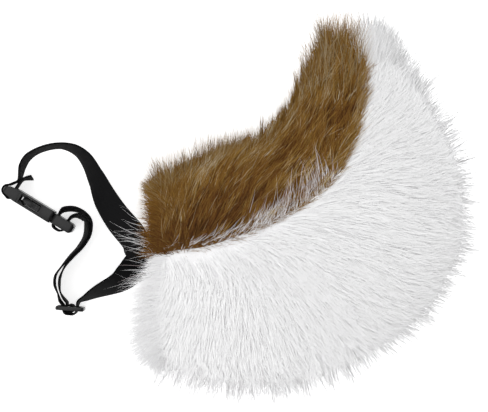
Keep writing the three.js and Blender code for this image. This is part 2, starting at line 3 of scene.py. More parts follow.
import bpy
import numpy as np
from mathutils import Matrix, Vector


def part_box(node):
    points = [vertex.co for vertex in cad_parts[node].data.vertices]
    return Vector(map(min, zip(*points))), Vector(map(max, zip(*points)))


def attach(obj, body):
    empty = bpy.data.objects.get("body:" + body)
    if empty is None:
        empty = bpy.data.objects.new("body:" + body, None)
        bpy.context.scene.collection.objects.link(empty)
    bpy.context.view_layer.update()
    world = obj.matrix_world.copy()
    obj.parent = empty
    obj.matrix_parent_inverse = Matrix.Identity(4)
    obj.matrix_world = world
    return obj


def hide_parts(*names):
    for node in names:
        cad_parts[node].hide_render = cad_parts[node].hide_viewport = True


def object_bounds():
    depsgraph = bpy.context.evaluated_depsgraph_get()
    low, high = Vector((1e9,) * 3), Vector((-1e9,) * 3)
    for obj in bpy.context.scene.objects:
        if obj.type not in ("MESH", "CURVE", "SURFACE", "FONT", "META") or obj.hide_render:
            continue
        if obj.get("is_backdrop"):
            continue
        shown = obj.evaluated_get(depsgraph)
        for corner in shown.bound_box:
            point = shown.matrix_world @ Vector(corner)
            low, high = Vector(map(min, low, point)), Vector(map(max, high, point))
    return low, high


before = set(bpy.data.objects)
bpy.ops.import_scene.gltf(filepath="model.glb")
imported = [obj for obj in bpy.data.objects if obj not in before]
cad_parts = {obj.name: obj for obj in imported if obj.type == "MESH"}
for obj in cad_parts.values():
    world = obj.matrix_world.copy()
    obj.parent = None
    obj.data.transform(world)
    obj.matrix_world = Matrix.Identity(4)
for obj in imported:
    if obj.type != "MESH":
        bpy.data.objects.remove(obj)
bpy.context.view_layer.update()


# ---- The stuffed body.
# A curled pad of polyester filling in a fur fabric cover, laid on its side. The cover is cut from a
# white outer piece and a brown inner piece, which meet in a sewn seam that shows as a valley.
MM = 0.001
TAIL_LENGTH = 284 * MM
INNER_REACH = 85 * MM
OUTER_REACH = 104 * MM
BODY_THICKNESS = 105 * MM
SETTLE = 5 * MM
ROOT = np.array([16, -3, 0]) * MM
CURL = {
    "heading": [0, -5, 6, 20, 35, 50, 63, 76, 87, 94, 100],
    "inner": [.68, .94, 1, 1, .99, .93, .86, .77, .65, .51, .28],
    "outer": [.72, .79, .87, .94, .97, 1, .94, .77, .54, .35, .14],
    "thick": [.86, .93, .98, 1, 1, .98, .94, .85, .71, .54, .27],
    "seam": [.09, .15, .23, .27, .265, .21, .12, .07, .01, -.018, 0],
    "comb_brown": [84, 76, 56, 38, 23, 9, -3, -14, -19, -15, -6],
    "comb_white": [108, 98, 88, 79, 71, 65, 59, 52, 43, 32, 16],
}
LINE_STEPS = 60
COVER_RINGS = 73

# The belt and the tail are drawn from the wearer's back, and the slider shows where that lies here.
SLIDER_AT = np.array([-56.43, -40.68, 15.5]) * MM
slider_low, slider_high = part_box("strap_slider")
waist_at = np.array((slider_low + slider_high) / 2) - SLIDER_AT


def curl(share, column):
    """A row of CURL, read at shares of the way from the root to the tip."""
    rows = CURL[column]
    return np.interp(share, np.linspace(0, 1, len(rows)), rows)


line_heading = np.radians(curl((np.arange(LINE_STEPS) + .5) / LINE_STEPS, "heading"))
line_steps = np.stack([np.cos(line_heading), np.sin(line_heading), 0 * line_heading], 1)
middle_line = ROOT + np.vstack([np.zeros(3), np.cumsum(line_steps, 0)]) * TAIL_LENGTH / LINE_STEPS


def unit(v):
    return v / np.maximum(np.linalg.norm(v, axis=-1, keepdims=True), 1e-12)


def curl_frame(share):
    """The middle of a section, the way to the tip and the way to the inner side."""
    share = np.asarray(share, float)
    heading = np.radians(curl(share, "heading"))
    tipward = np.stack([np.cos(heading), np.sin(heading), 0 * heading], -1)
    inward = np.stack([-tipward[..., 1], tipward[..., 0], 0 * heading], -1)
    place = np.clip(share, 0, 1) * LINE_STEPS
    origin = np.stack([
        np.interp(place, np.arange(LINE_STEPS + 1), middle_line[:, k]) for k in range(3)], -1)
    beyond = (share - np.clip(share, 0, 1)) * TAIL_LENGTH
    return origin + tipward * beyond[..., None], tipward, inward


def skin(share, angle):
    """A point of the cover. angle: 0 at the inner side, 90 on top, 180 at the outer side."""
    share, angle = np.broadcast_arrays(np.asarray(share, float), np.asarray(angle, float))
    origin, _, inward = curl_frame(share)
    turn = np.radians(angle)
    reach = np.where(np.cos(turn) > 0, INNER_REACH * curl(share, "inner"),
                     OUTER_REACH * curl(share, "outer"))
    half = BODY_THICKNESS * curl(share, "thick") / 2
    point = origin + inward * (reach * np.cos(turn))[..., None]
    point[..., 2] = np.maximum(0, half - SETTLE + half * np.sin(turn))
    return point


def seam_angle(share):
    """Where the white and the brown piece meet, as an angle round the section."""
    seam = INNER_REACH * curl(share, "seam")
    reach = np.where(seam > 0, INNER_REACH * curl(share, "inner"), OUTER_REACH * curl(share, "outer"))
    return np.degrees(np.arccos(seam / reach))


def new_piece(name, points, faces, material):
    """A smooth mesh piece from points in the belt's own frame. faces: arrays with one face a row."""
    mesh = bpy.data.meshes.new(name)
    points = np.asarray(points, float).reshape(-1, 3) + waist_at
    corners = np.concatenate([f.ravel() for f in faces])
    sizes = np.concatenate([np.full(len(f), f.shape[1]) for f in faces])
    mesh.vertices.add(len(points))
    mesh.vertices.foreach_set("co", points.astype(np.float32).ravel())
    mesh.loops.add(len(corners))
    mesh.loops.foreach_set("vertex_index", corners.astype(np.int32))
    mesh.polygons.add(len(sizes))
    mesh.polygons.foreach_set("loop_start", (np.cumsum(sizes) - sizes).astype(np.int32))
    mesh.update(calc_edges=True)
    mesh.shade_smooth()
    mesh.materials.append(material)
    piece = bpy.data.objects.new(name, mesh)
    bpy.context.scene.collection.objects.link(piece)
    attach(piece, "root")
    return piece


def loft_faces(rows, count):
    """Quads over rings of points, each ring closed, and triangles over either end."""
    row, i = np.meshgrid(np.arange(rows - 1), np.arange(count), indexing="ij")
    a = (row * count + i).ravel()
    b = (row * count + (i + 1) % count).ravel()
    sides = np.stack([a, b, b + count, a + count], 1)
    fan = np.arange(1, count - 1)
    start = np.stack([0 * fan, fan + 1, fan], 1)
    last = (rows - 1) * count
    end = np.stack([0 * fan + last, last + fan, last + fan + 1], 1)
    return [sides, np.vstack([start, end])]


def body_piece(name, angles_at, segments, material):
    """One side of the cover, from seam to seam."""
    shares = np.linspace(0, 1, COVER_RINGS)
    rings = np.stack([skin(share, np.linspace(*angles_at(share), segments + 1)) for share in shares])
    return new_piece(name, rings, loft_faces(len(shares), segments + 1), material)


def pile_streaks():
    """The combed look of the pile where its base shows between the hairs."""
    group = bpy.data.node_groups.new("pile_streaks", "ShaderNodeTree")
    for name, kind in (("Scale", "NodeSocketFloat"), ("Dark", "NodeSocketColor"),
                       ("Light", "NodeSocketColor")):
        group.interface.new_socket(name, in_out="INPUT", socket_type=kind)
    for name, kind in (("Color", "NodeSocketColor"), ("Height", "NodeSocketFloat")):
        group.interface.new_socket(name, in_out="OUTPUT", socket_type=kind)
    nodes, links = group.nodes, group.links
    given, put_out = nodes.new("NodeGroupInput"), nodes.new("NodeGroupOutput")
    place = nodes.new("ShaderNodeTexCoord")
    stretch = nodes.new("ShaderNodeMapping")
    stretch.inputs["Scale"].default_value = (1, 1, .35)
    noise = nodes.new("ShaderNodeTexNoise")
    noise.inputs["Detail"].default_value = 5
    noise.inputs["Roughness"].default_value = .62
    mix = nodes.new("ShaderNodeMix")
    mix.data_type = "RGBA"
    links.new(place.outputs["Object"], stretch.inputs["Vector"])
    links.new(stretch.outputs["Vector"], noise.inputs["Vector"])
    links.new(given.outputs["Scale"], noise.inputs["Scale"])
    links.new(noise.outputs["Fac"], mix.inputs["Factor"])
    links.new(given.outputs["Dark"], mix.inputs[6])
    links.new(given.outputs["Light"], mix.inputs[7])
    links.new(mix.outputs[2], put_out.inputs["Color"])
    links.new(noise.outputs["Fac"], put_out.inputs["Height"])
    return group


pile_group = pile_streaks()


def new_finish(name, roughness, **plain):
    """A new material with its shader's plain values set, and its nodes and links to add to."""
    material = bpy.data.materials.new(name)
    material.use_nodes = True
    shader = material.node_tree.nodes["Principled BSDF"]
    shader.inputs["Roughness"].default_value = roughness
    for socket, value in plain.items():
        shader.inputs[socket.replace("_", " ")].default_value = value
    return material, shader, material.node_tree.nodes, material.node_tree.links


def pile_base(name, dark, light, **plain):
    """The backing of the fur with the roots of its pile, in two tones of its dye."""
    material, shader, nodes, links = new_finish(name, .95, Specular_IOR_Level=.1, **plain)
    streaks = nodes.new("ShaderNodeGroup")
    streaks.node_tree = pile_group
    streaks.inputs["Scale"].default_value = 420
    streaks.inputs["Dark"].default_value = (*dark, 1)
    streaks.inputs["Light"].default_value = (*light, 1)
    bump = nodes.new("ShaderNodeBump")
    bump.inputs["Strength"].default_value = .8
    bump.inputs["Distance"].default_value = 2 * MM
    links.new(streaks.outputs["Color"], shader.inputs["Base Color"])
    links.new(streaks.outputs["Height"], bump.inputs["Height"])
    links.new(bump.outputs["Normal"], shader.inputs["Normal"])
    return material


# The white backing also glows faintly through its emission: painted light that lifts the shade between the
# hairs.
white_base = pile_base("white_pile_base", (.80, .795, .81), (.90, .895, .90),
                       Emission_Color=(1, 1, 1, 1), Emission_Strength=.1)
white_body = body_piece("white_fur_cover", lambda share: (seam_angle(share), 360 - seam_angle(share)), 56,
                        white_base)
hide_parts("white_fur_body")

brown_base = pile_base("brown_pile_base", (.06, .024, .006), (.16, .076, .019))
brown_body = body_piece("brown_fur_cover", lambda share: (-seam_angle(share), seam_angle(share)), 40,
                        brown_base)
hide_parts("brown_fur_panel")


# ---- The pile of the white fur.
# Long soft acrylic hairs that stand in small locks on the cover, combed away from the seam and
# towards the tip. Each hair is a fine taper, bent over by its weight.
HAIR_STATIONS = (0, .34, .68, 1)
SHORT_HAIR_STATIONS = (0, .5, 1)
ROOT_DEPTH = 1.5 * MM
OVER_TABLE = .4 * MM
SHORTEST_HAIR = 5 * MM
LOCK_BREADTH = .85
EDGE_UNDER = 58


def ramp(value, start, end):
    """0 at start and before it, 1 at end and past it, and even between them."""
    return np.clip((value - start) / (end - start), 0, 1)


def hair_widths(rng, n, width):
    return width * (1 + .25 * rng.normal(size=n)).clip(.5, 1.6)


def hair_mesh(name, hairs, material, soft=2.2):
    """One piece of hairs. hairs holds their paths, widths, tones from 0 dark to 1 light, and the
    cover's normals under them. The piece's map holds tone and length. soft: how far the light on
    a hair follows the cover under it, not the hair's own roundness."""
    paths, width, tone, under = hairs
    n, rings = len(paths), paths.shape[1] - 1
    taper = np.linspace(1, .5, rings)
    along = np.linspace(.02, .98, rings + 1)
    per_hair = 3 * rings + 1
    tangent = unit(np.gradient(paths, axis=1))
    flat = unit(np.cross(tangent, np.array([.13, .07, 1.])))
    upright = np.cross(tangent, flat)
    points, normals = np.empty((n, per_hair, 3)), np.empty((n, per_hair, 3))
    for k, turn in enumerate(np.radians([90, 210, 330])):
        off = (math.cos(turn) * flat + .6 * math.sin(turn) * upright)[:, :rings]
        points[:, k:3 * rings:3] = paths[:, :rings] + off * (taper[:, None] * width[:, None, None] / 2)
        normals[:, k:3 * rings:3] = unit(under[:, None] * soft + unit(off))
    points[:, -1], normals[:, -1] = paths[:, -1], under

    first = (np.arange(n) * per_hair)[:, None]
    step = [(ring, k) for ring in range(rings - 1) for k in range(3)]
    quads = np.stack([first + [3 * r + k, 3 * r + (k + 1) % 3, 3 * r + 3 + (k + 1) % 3, 3 * r + 3 + k]
                      for r, k in step], 1)
    last = 3 * (rings - 1)
    ends = np.stack([first + [last + k, last + (k + 1) % 3, last + 3] for k in range(3)]
                    + [first + [0, 2, 1]], 1)
    piece = new_piece(name, points, [quads.reshape(-1, 4), ends.reshape(-1, 3)], material)
    piece.data.normals_split_custom_set_from_vertices(normals.reshape(-1, 3).tolist())

    edge = np.array([-1, -.33, .33, 1]) * .004
    quad_map = np.array([[(edge[k], along[r]), (edge[k + 1], along[r]),
                          (edge[k + 1], along[r + 1]), (edge[k], along[r + 1])] for r, k in step])
    end_map = np.array([[(edge[k], along[-2]), (edge[k + 1], along[-2]), (0, along[-1])]
                        for k in range(3)] + [[(edge[0], 0), (edge[3], 0), (0, .02)]])
    place = .01 + .98 * np.clip(tone, 0, 1)
    laid = []
    for corners in (quad_map, end_map):
        both = np.broadcast_to(corners, (n, *corners.shape)).copy()
        both[..., 0] += place[:, None, None]
        laid.append(both.reshape(-1, 2))
    layer = piece.data.uv_layers.new(name="OFBake")
    layer.uv.foreach_set("vector", np.concatenate(laid).astype(np.float32).ravel())
    return piece


def hair_finish(name, stops, painted_root_shade, **plain):
    """The hair's colours from dark to light across the map, and darker at the root along it as painted
    shade.
    """
    material, shader, nodes, links = new_finish(name, .55, **plain)
    laid = nodes.new("ShaderNodeUVMap")
    laid.uv_map = "OFBake"
    split = nodes.new("ShaderNodeSeparateXYZ")
    ramp = nodes.new("ShaderNodeValToRGB")
    ends = ramp.color_ramp.elements
    for element, (at, colour) in zip((ends[0], ends[1]), (stops[0], stops[-1])):
        element.position, element.color = at, (*colour, 1)
    for at, colour in stops[1:-1]:
        ends.new(at).color = (*colour, 1)
    # Painted shade: the colour is multiplied down towards each hair's root, where the hairs lie over one
    # another.
    depth = nodes.new("ShaderNodeMapRange")
    depth.inputs["From Max"].default_value = .6
    depth.inputs["To Min"].default_value = painted_root_shade
    shade = nodes.new("ShaderNodeMix")
    shade.data_type = "RGBA"
    shade.blend_type = "MULTIPLY"
    shade.inputs["Factor"].default_value = 1
    links.new(laid.outputs["UV"], split.inputs["Vector"])
    links.new(split.outputs["X"], ramp.inputs["Fac"])
    links.new(split.outputs["Y"], depth.inputs["Value"])
    links.new(ramp.outputs["Color"], shade.inputs[6])
    links.new(depth.outputs["Result"], shade.inputs[7])
    links.new(shade.outputs[2], shader.inputs["Base Color"])
    return material


def spaced_roots(rng, angles_at, shares, room):
    """Evenly spread places on the cover, no two nearer than room, as (share, angle)."""
    tries = 30000
    share = rng.uniform(*shares, tries)
    low, high = angles_at(share)
    angle = low + (high - low) * rng.random(tries)
    chosen, cells = [], {}
    for i, p in enumerate(skin(share, angle)):
        x, y, z = (p // room).astype(int)
        near = [q for dx in (-1, 0, 1) for dy in (-1, 0, 1) for dz in (-1, 0, 1)
                for q in cells.get((x + dx, y + dy, z + dz), ())]
        if near and np.min(np.sum((np.array(near) - p) ** 2, 1)) < room * room:
            continue
        cells.setdefault((x, y, z), []).append(p)
        chosen.append(i)
    return share[chosen], angle[chosen]


def skin_normal(share, angle):
    """The way out of the cover."""
    ahead = skin(share + .004, angle) - skin(share - .004, angle)
    around = skin(share, angle + .8) - skin(share, angle - .8)
    return unit(np.cross(around, ahead))


def wander(points, scale, seed):
    """A slow swing between about -1 and 1 over the cover, for hair that isn't combed dead straight."""
    rng = np.random.default_rng(seed)
    total = np.zeros(len(points))
    for k in range(5):
        way = unit(rng.normal(size=3))
        total += np.sin(points @ way * scale * (1 + .6 * k) + rng.uniform(0, 6.28)) / (1 + .5 * k)
    return total / 2


def outside_body(points, lift):
    """points moved straight off the body's middle where they lie under its cover by less than lift."""
    flat = points.reshape(-1, 3)
    way = flat[:, None, :2] - middle_line[None, :, :2]
    share = np.argmin((way ** 2).sum(2), 1) / LINE_STEPS
    origin, tipward, inward = curl_frame(share)
    share = np.clip(share + ((flat - origin) * tipward).sum(1) / TAIL_LENGTH, 0, 1)
    origin, tipward, inward = curl_frame(share)
    side = ((flat - origin) * inward).sum(1)
    half = BODY_THICKNESS * curl(share, "thick") / 2
    reach = np.where(side > 0, INNER_REACH * curl(share, "inner"), OUTER_REACH * curl(share, "outer"))
    height = flat[:, 2] - (half - SETTLE)
    out, deep = np.hypot(side / reach, height / half), .25
    wanted = 1 + lift.reshape(-1) / np.minimum(half, reach)
    grow = np.where((out < wanted) & (out > deep), wanted / np.maximum(out, deep), 1)
    past_end = np.abs(((flat - origin) * tipward).sum(1)) > 4 * MM
    grow = np.where(past_end, 1, grow)
    moved = flat + inward * (side * (grow - 1))[:, None]
    moved[:, 2] += height * (grow - 1)
    moved[:, 2] = np.maximum(moved[:, 2], OVER_TABLE)
    return moved.reshape(points.shape)


def pile(rng, angles_at, shares, side, comb, room, per_lock, gather, length, width, shade, lean=.2):
    """Locks of hairs over a stretch of the cover: their paths, widths, tones and normals.
    side: 1 combs to the inner side and -1 to the outer. room: from lock to lock. gather: how far a
    lock draws together at its tip. lean: how far it stands up from the cover."""
    share, angle = spaced_roots(rng, angles_at, shares, room)
    point, normal = skin(share, angle), skin_normal(share, angle)
    _, tipward, inward = curl_frame(share)
    locks = len(share)
    turn = np.radians(comb(share, angle)) + .20 * wander(point, 40, 5) + .14 * rng.normal(size=locks)
    level = tipward * np.cos(turn)[:, None] + inward * (side * np.sin(turn))[:, None]
    laid = unit(level - normal * (level * normal).sum(1)[:, None])
    up = ramp(normal[:, 2], .1, .6)[:, None]
    flow = unit(level * (1 - up) + laid * up
                + normal * (lean * (1 + .3 * rng.normal(size=locks)))[:, None])
    breadth = unit(np.cross(flow, normal))
    lock_length = length(share, angle) * (1 + .15 * rng.normal(size=locks))
    lock_tone = rng.normal(size=locks)

    n = locks * per_lock
    of = np.repeat(np.arange(locks), per_lock)
    spread, way = np.sqrt(rng.random(n)) * room * LOCK_BREADTH, rng.uniform(0, 2 * math.pi, n)
    across, along = spread * np.cos(way), spread * np.sin(way)
    long = np.maximum(lock_length[of] * (.66 + .56 * rng.random(n) ** 2), SHORTEST_HAIR)
    flow, normal, breadth, point = flow[of], normal[of], breadth[of], point[of]
    own = (breadth * (.10 * rng.normal(size=n))[:, None]
           + normal * (.3 * lean * rng.normal(size=n))[:, None])
    onward = np.cross(normal, breadth)
    droop = .13 + .05 * rng.normal(size=n)
    paths = np.empty((n, len(HAIR_STATIONS), 3))
    for k, at in enumerate(HAIR_STATIONS):
        base = (point + breadth * (across * (1 - gather * at))[:, None]
                + onward * (along * (1 - .5 * gather * at))[:, None])
        paths[:, k] = (base + flow * (long * at)[:, None] + own * (long * at * at)[:, None]
                       - normal * (long * droop * at * at + ROOT_DEPTH * (1 - at))[:, None])
        paths[:, k, 2] -= long * .05 * at * at
    lift = np.array([-2, 1.2, 2.2, 3]) * MM + (rng.random(n) * 1.5 * MM)[:, None] * [0, 1, 1, 1]
    paths = outside_body(paths, lift)
    tone = shade(paths[:, 2], share[of], angle[of], lock_tone[of], rng.normal(size=n))
    return paths, hair_widths(rng, n, width), tone, normal


def bowed_hairs(rng, share, angle, sweep, turn_to, length, width, tone, spread=1., sunk=0.,
                stations=HAIR_STATIONS):
    """Single hairs that leave the cover one way and bow round to another. sweep, turn_to: those
    ways, as (tipward, inward, up) for each hair. sunk: how far below the cover they begin."""
    n = len(share)
    point, normal = skin(share, angle) - [0, 0, sunk], skin_normal(share, angle)
    _, tipward, inward = curl_frame(share)
    lift = np.array([0, 0, 1.])

    def way(parts):
        parts = np.asarray(parts, float) + .14 * spread * rng.normal(size=(n, 3))
        return unit(tipward * parts[:, :1] + inward * parts[:, 1:2] + lift * parts[:, 2:])

    first, second = way(sweep), way(turn_to)
    paths = np.empty((n, len(stations), 3))
    for k, at in enumerate(stations):
        paths[:, k] = (point - normal * (ROOT_DEPTH * (1 - at))
                       + first * (length * (at - .5 * at * at))[:, None]
                       + second * (length * .5 * at * at)[:, None])
    paths[:, :, 2] = np.maximum(paths[:, :, 2], OVER_TABLE)
    return paths, hair_widths(rng, n, width), tone, normal


white_rng = np.random.default_rng(11)
# The white hairs glow faintly through their emission: painted light that lifts the shade between hairs and
# locks.
white_hair = hair_finish(
    "white_hair", [(0, (.50, .41, .41)), (.16, (.62, .605, .612)), (.4, (.86, .857, .868)),
                   (.7, (.94, .94, .943)), (1, (.975, .975, .975))],
    painted_root_shade=1, Specular_IOR_Level=.1, Emission_Color=(1, 1, 1, 1), Emission_Strength=.115)


def white_length(share, angle):
    over_edge, at_root, at_tip = ramp(angle, 105, 150), ramp(share, .12, 0), ramp(share, .8, 1)
    return (27 - 18 * over_edge * (1 - at_tip) - 2 * at_root + 5 * at_tip) * MM


def white_angles(share):
    return seam_angle(share) + 3.4 - 3 * ramp(share, .5, .65), 180 + EDGE_UNDER + 0 * share


def white_comb(share, angle):
    from_seam = ramp(angle - seam_angle(share), 0, 22)
    return (.45 + .55 * from_seam) * curl(share, "comb_white") + 34 * ramp(share, .1, 0)


def white_shade(point, share, angle, lock_tone, own):
    return .68 + .03 * wander(point, 55, 8) + .03 * lock_tone + .05 * own


for part, shares in {"root": (.004, .27), "middle": (.27, .52), "crown": (.52, .74),
                     "tip": (.74, .998)}.items():
    hairs = pile(white_rng, white_angles, shares, -1, white_comb,
                 room=4.6 * MM, per_lock=11, gather=.2, lean=.07, length=white_length, width=.62 * MM,
                 shade=white_shade)
    hair_mesh("white_pile_" + part, hairs, white_hair, soft=6)


# ---- The white hairs round the root.
# The same acrylic pile, brushed back over the belt as a ruff that is longest at the outer side. Short
# pile covers the closed end of the root round the band, and single hairs splay over the belt's arms.
WHITE_RUFF_HAIRS, WHITE_END_HAIRS, SPLAYED_HAIRS = 4400, 5200, 90
share = white_rng.uniform(.002, .035, WHITE_RUFF_HAIRS)
angle = white_rng.uniform(seam_angle(share) + 2, 180 + EDGE_UNDER)
low_down = ramp(angle, 104, 176) ** 1.5
sweep = np.stack([-1 + .45 * low_down, -.1 - .6 * low_down, .15 - .1 * low_down], 1)
turned = np.stack([-.9 + .6 * low_down, -.2 - .8 * low_down, .05 - .15 * low_down], 1)
reach = 12 + 20 * ramp(angle, 86, 104) + 8 * ramp(angle, 104, 134) - 27 * ramp(angle, 136, 172)
# The ruff's hairs get a darker tone than the pile's: painted shade on the ruff round the root.
hairs = bowed_hairs(white_rng, share, angle, sweep, turned,
                    reach * MM * (.55 + .55 * white_rng.random(WHITE_RUFF_HAIRS)), .55 * MM,
                    .5 + .08 * white_rng.normal(size=WHITE_RUFF_HAIRS), spread=1.4,
                    stations=SHORT_HAIR_STATIONS)
hair_mesh("white_ruff", hairs, white_hair, soft=6)

# Where the belt's band lies on the end, as lowest and highest y and z.
BAND_CLEAR = (-12.5 * MM, 14.5 * MM, 17 * MM, 69 * MM)


def end_hairs(rng, n, side, width, tone):
    """Hairs that stand out of the root's end. side: 1 for the brown part of it, -1 for the white."""
    out, turn = np.sqrt(rng.random(n)) * .98, rng.uniform(0, 360, n)
    centre = skin(0, 0) * [0, 0, 1] + ROOT * [1, 1, 0]
    point = centre + (skin(0 * turn, turn) - centre) * out[:, None]
    on_side = (point[:, 1] - ROOT[1] - INNER_REACH * curl(0, "seam")) * side > 0
    low_y, high_y, low_z, high_z = BAND_CLEAR
    under_band = ((point[:, 1] > low_y) & (point[:, 1] < high_y)
                  & (point[:, 2] > low_z) & (point[:, 2] < high_z))
    point = point[on_side & ~under_band]
    n = len(point)
    radial = unit(point - centre) * ramp(np.linalg.norm(point - centre, axis=1), 0, 60 * MM)[:, None]
    away = unit([-1, 0, 0] + radial * .8 + .25 * rng.normal(size=(n, 3)))
    fallen = unit(away + radial + [.35, 0, -.35] + .2 * rng.normal(size=(n, 3)))
    long = (7 + 6 * rng.random(n))[:, None] * MM
    paths = np.stack([point + [ROOT_DEPTH, 0, 0], point + away * long * .5,
                      point + (away + fallen) * long * .5], 1)
    paths[:, :, 2] = np.maximum(paths[:, :, 2], OVER_TABLE)
    under = np.tile(unit(np.array([-1., 0, .3])), (n, 1))
    return paths, hair_widths(rng, n, width), tone + .08 * rng.normal(size=n), under


hairs = end_hairs(white_rng, WHITE_END_HAIRS, -1, .7 * MM, .6)
hair_mesh("white_end_pile", hairs, white_hair, soft=6)

share = white_rng.uniform(.001, .008, SPLAYED_HAIRS)
angle = white_rng.uniform(60, 116, SPLAYED_HAIRS)
splay = (angle - 82)[:, None] * [0, -.016, 0] + [0, .35, 0] * white_rng.normal(size=(SPLAYED_HAIRS, 1))
hairs = bowed_hairs(white_rng, share, angle, [-1, .1, 0] + .5 * splay, [-1, .05, -.1] + 1.4 * splay,
                    (20 + 27 * white_rng.random(SPLAYED_HAIRS) ** 1.5) * MM, .3 * MM,
                    .4 + .25 * white_rng.normal(size=SPLAYED_HAIRS), spread=1.3, sunk=14 * MM)
hair_mesh("splayed_root_hairs", hairs, white_hair)


# ---- The white fringe and the white tuft.
# The longest hairs of the same pile. Round the outer edge they thin out into a fringe of wisps, and
# past the end of the cover they run on as a loose tuft.
def fringe_angles(share):
    return 146 + 0 * share, 208 + 0 * share


def fringe_comb(share, angle):
    return curl(share, "comb_white") + 8


def fringe_length(share, angle):
    return (29 + 6 * ramp(share, .4, 0)) * MM


# The fringe's hairs get a darker tone than the pile's: painted shade on the wisps round the outer edge.
def fringe_shade(point, share, angle, lock_tone, own):
    return .46 + .08 * lock_tone + .08 * own


hairs = pile(white_rng, fringe_angles, (.002, .985), -1, fringe_comb, room=5.6 * MM, per_lock=10,
             gather=.3, length=fringe_length, width=.4 * MM, shade=fringe_shade, lean=.3)
hair_mesh("white_fringe", hairs, white_hair)

WHITE_TUFT_HAIRS = 1100
share = white_rng.uniform(.93, 1, WHITE_TUFT_HAIRS)
angle = white_rng.uniform(seam_angle(share) - 2, 232)
fan = -.1 - .35 * ramp(angle, 90, 180)
hairs = bowed_hairs(white_rng, share, angle, np.stack([1 + 0 * fan, fan, .05 + 0 * fan], 1),
                    np.stack([1 + 0 * fan, 1.4 * fan, -.1 + 0 * fan], 1),
                    white_rng.uniform(16, 34, WHITE_TUFT_HAIRS) * MM, .5 * MM,
                    .64 + .08 * white_rng.normal(size=WHITE_TUFT_HAIRS), spread=1.6,
                    stations=SHORT_HAIR_STATIONS)
hair_mesh("white_tip_tuft", hairs, white_hair)


# ---- The pile of the brown panel.
# The same fabric in brown, a little shorter and denser, combed up over the inner side of the curl.
# It is darkest against the seam and at the root, which is painted shade in the seam's valley, and pale
# at the ends that catch the light, which is a painted highlight.
brown_rng = np.random.default_rng(23)
brown_hair = hair_finish(
    "brown_hair", [(0, (.04, .013, .002)), (.3, (.12, .045, .008)), (.55, (.235, .111, .020)),
                   (.75, (.335, .19, .042)), (1, (.66, .57, .40))],
    painted_root_shade=.4, Specular_IOR_Level=.1)


def brown_length(share, angle):
    over_edge, at_tip = ramp(angle, 35, -15), ramp(share, .8, 1)
    at_root, near_root = ramp(share, .1, 0), ramp(share, .3, .1)
    return (24 - (9 + 4 * near_root) * over_edge * (1 - at_tip) - 4 * at_root + 2 * at_tip) * MM


def brown_comb(share, angle):
    turned_back = np.clip((.95 - share) / .2, -.4, 1)
    inner_edge = ramp(angle, 30, -30) * ramp(share, .15, .45) * turned_back
    return curl(share, "comb_brown") + 30 * inner_edge + 10 * ramp(share, .08, 0)


def brown_shade(point, share, angle, lock_tone, own):
    past = angle - seam_angle(share)
    seam_valley_shade, lower = ramp(past, -30, 0), ramp(share, .45, .15)
    past_seam = ramp(past, -9, -2) * ramp(share, .4, .55)
    catches_light = ramp(share, .3, .15) * ramp(angle, 55, 30) + ramp(share, .78, .93)
    # Painted shade darkens the hairs against the seam, most towards the root, and a painted highlight makes
    # them paler on the root's top and towards the tip.
    return (.54 - (.07 + .17 * lower) * seam_valley_shade + .1 * past_seam + .16 * catches_light
            + (.13 + .03 * catches_light) * wander(point, 120, 9) + .115 * lock_tone + .13 * own)


def brown_angles(share):
    return -EDGE_UNDER + 0 * share, seam_angle(share) - 1.5


for part, shares in {"lower": (.004, .42), "upper": (.42, .998)}.items():
    hairs = pile(brown_rng, brown_angles, shares, 1, brown_comb, room=4.8 * MM, per_lock=17, gather=.5,
                 length=brown_length, width=.6 * MM, shade=brown_shade)
    hair_mesh("brown_pile_" + part, hairs, brown_hair)


# ---- The brown hairs round the root.
# The brown pile's first rows, which the maker brushes out over the belt like the white ones, and the
# short brown pile on the closed end of the root.
BROWN_RUFF_HAIRS, BROWN_END_HAIRS = 5200, 5200
share = .001 + .08 * brown_rng.random(BROWN_RUFF_HAIRS) ** 1.8
angle = brown_rng.uniform(-EDGE_UNDER, seam_angle(share) + 4)
high, onward = ramp(angle, 75, 15), ramp(share, 0, .08)
sweep = np.stack([-1 + 1.1 * onward, .05 + .6 * onward, .15 + 0 * high], 1)
turned = np.stack([(-.85 + .3 * high) * (1 - onward) + .15 * onward,
                   (-.15 + .6 * high) * (1 - onward) + onward, 0 * high], 1)
# The ruff's hairs are paler towards the inner side, the same painted highlight as on the pile's top near
# the root.
hairs = bowed_hairs(brown_rng, share, angle, sweep, turned,
                    (8 + 14 * brown_rng.random(BROWN_RUFF_HAIRS)) * MM * (1 - .3 * onward), .5 * MM,
                    .40 + .3 * high + .12 * brown_rng.normal(size=BROWN_RUFF_HAIRS), spread=1.3,
                    stations=SHORT_HAIR_STATIONS)
hair_mesh("brown_ruff", hairs, brown_hair)
hairs = end_hairs(brown_rng, BROWN_END_HAIRS, 1, .7 * MM, .42)
hair_mesh("brown_end_pile", hairs, brown_hair)


# ---- The brown fringe, guard hairs and tuft.
# Fine hairs thin out along the free edge of the brown fur, a few pale guard hairs lie singly over it,
# and past the end of the cover it fans out as a tuft.
BROWN_FRINGE_HAIRS, BROWN_GUARD_HAIRS, BROWN_TUFT_HAIRS = 3000, 340, 1700
share = .95 * brown_rng.random(BROWN_FRINGE_HAIRS) ** 1.7
angle = brown_rng.uniform(-50, 28, BROWN_FRINGE_HAIRS)
lay = np.radians(brown_comb(share, angle) + 8)
reach = 11 + 17 * brown_rng.random(BROWN_FRINGE_HAIRS) ** 1.4 + 9 * ramp(share, .25, .05)
hairs = bowed_hairs(brown_rng, share, angle, np.stack([np.cos(lay), np.sin(lay), .1 + 0 * lay], 1),
                    np.stack([np.cos(lay + .2), np.sin(lay + .2), 0 * lay], 1), reach * MM, .32 * MM,
                    .68 + .18 * brown_rng.normal(size=BROWN_FRINGE_HAIRS), spread=2,
                    stations=SHORT_HAIR_STATIONS)
hair_mesh("brown_fringe", hairs, brown_hair)

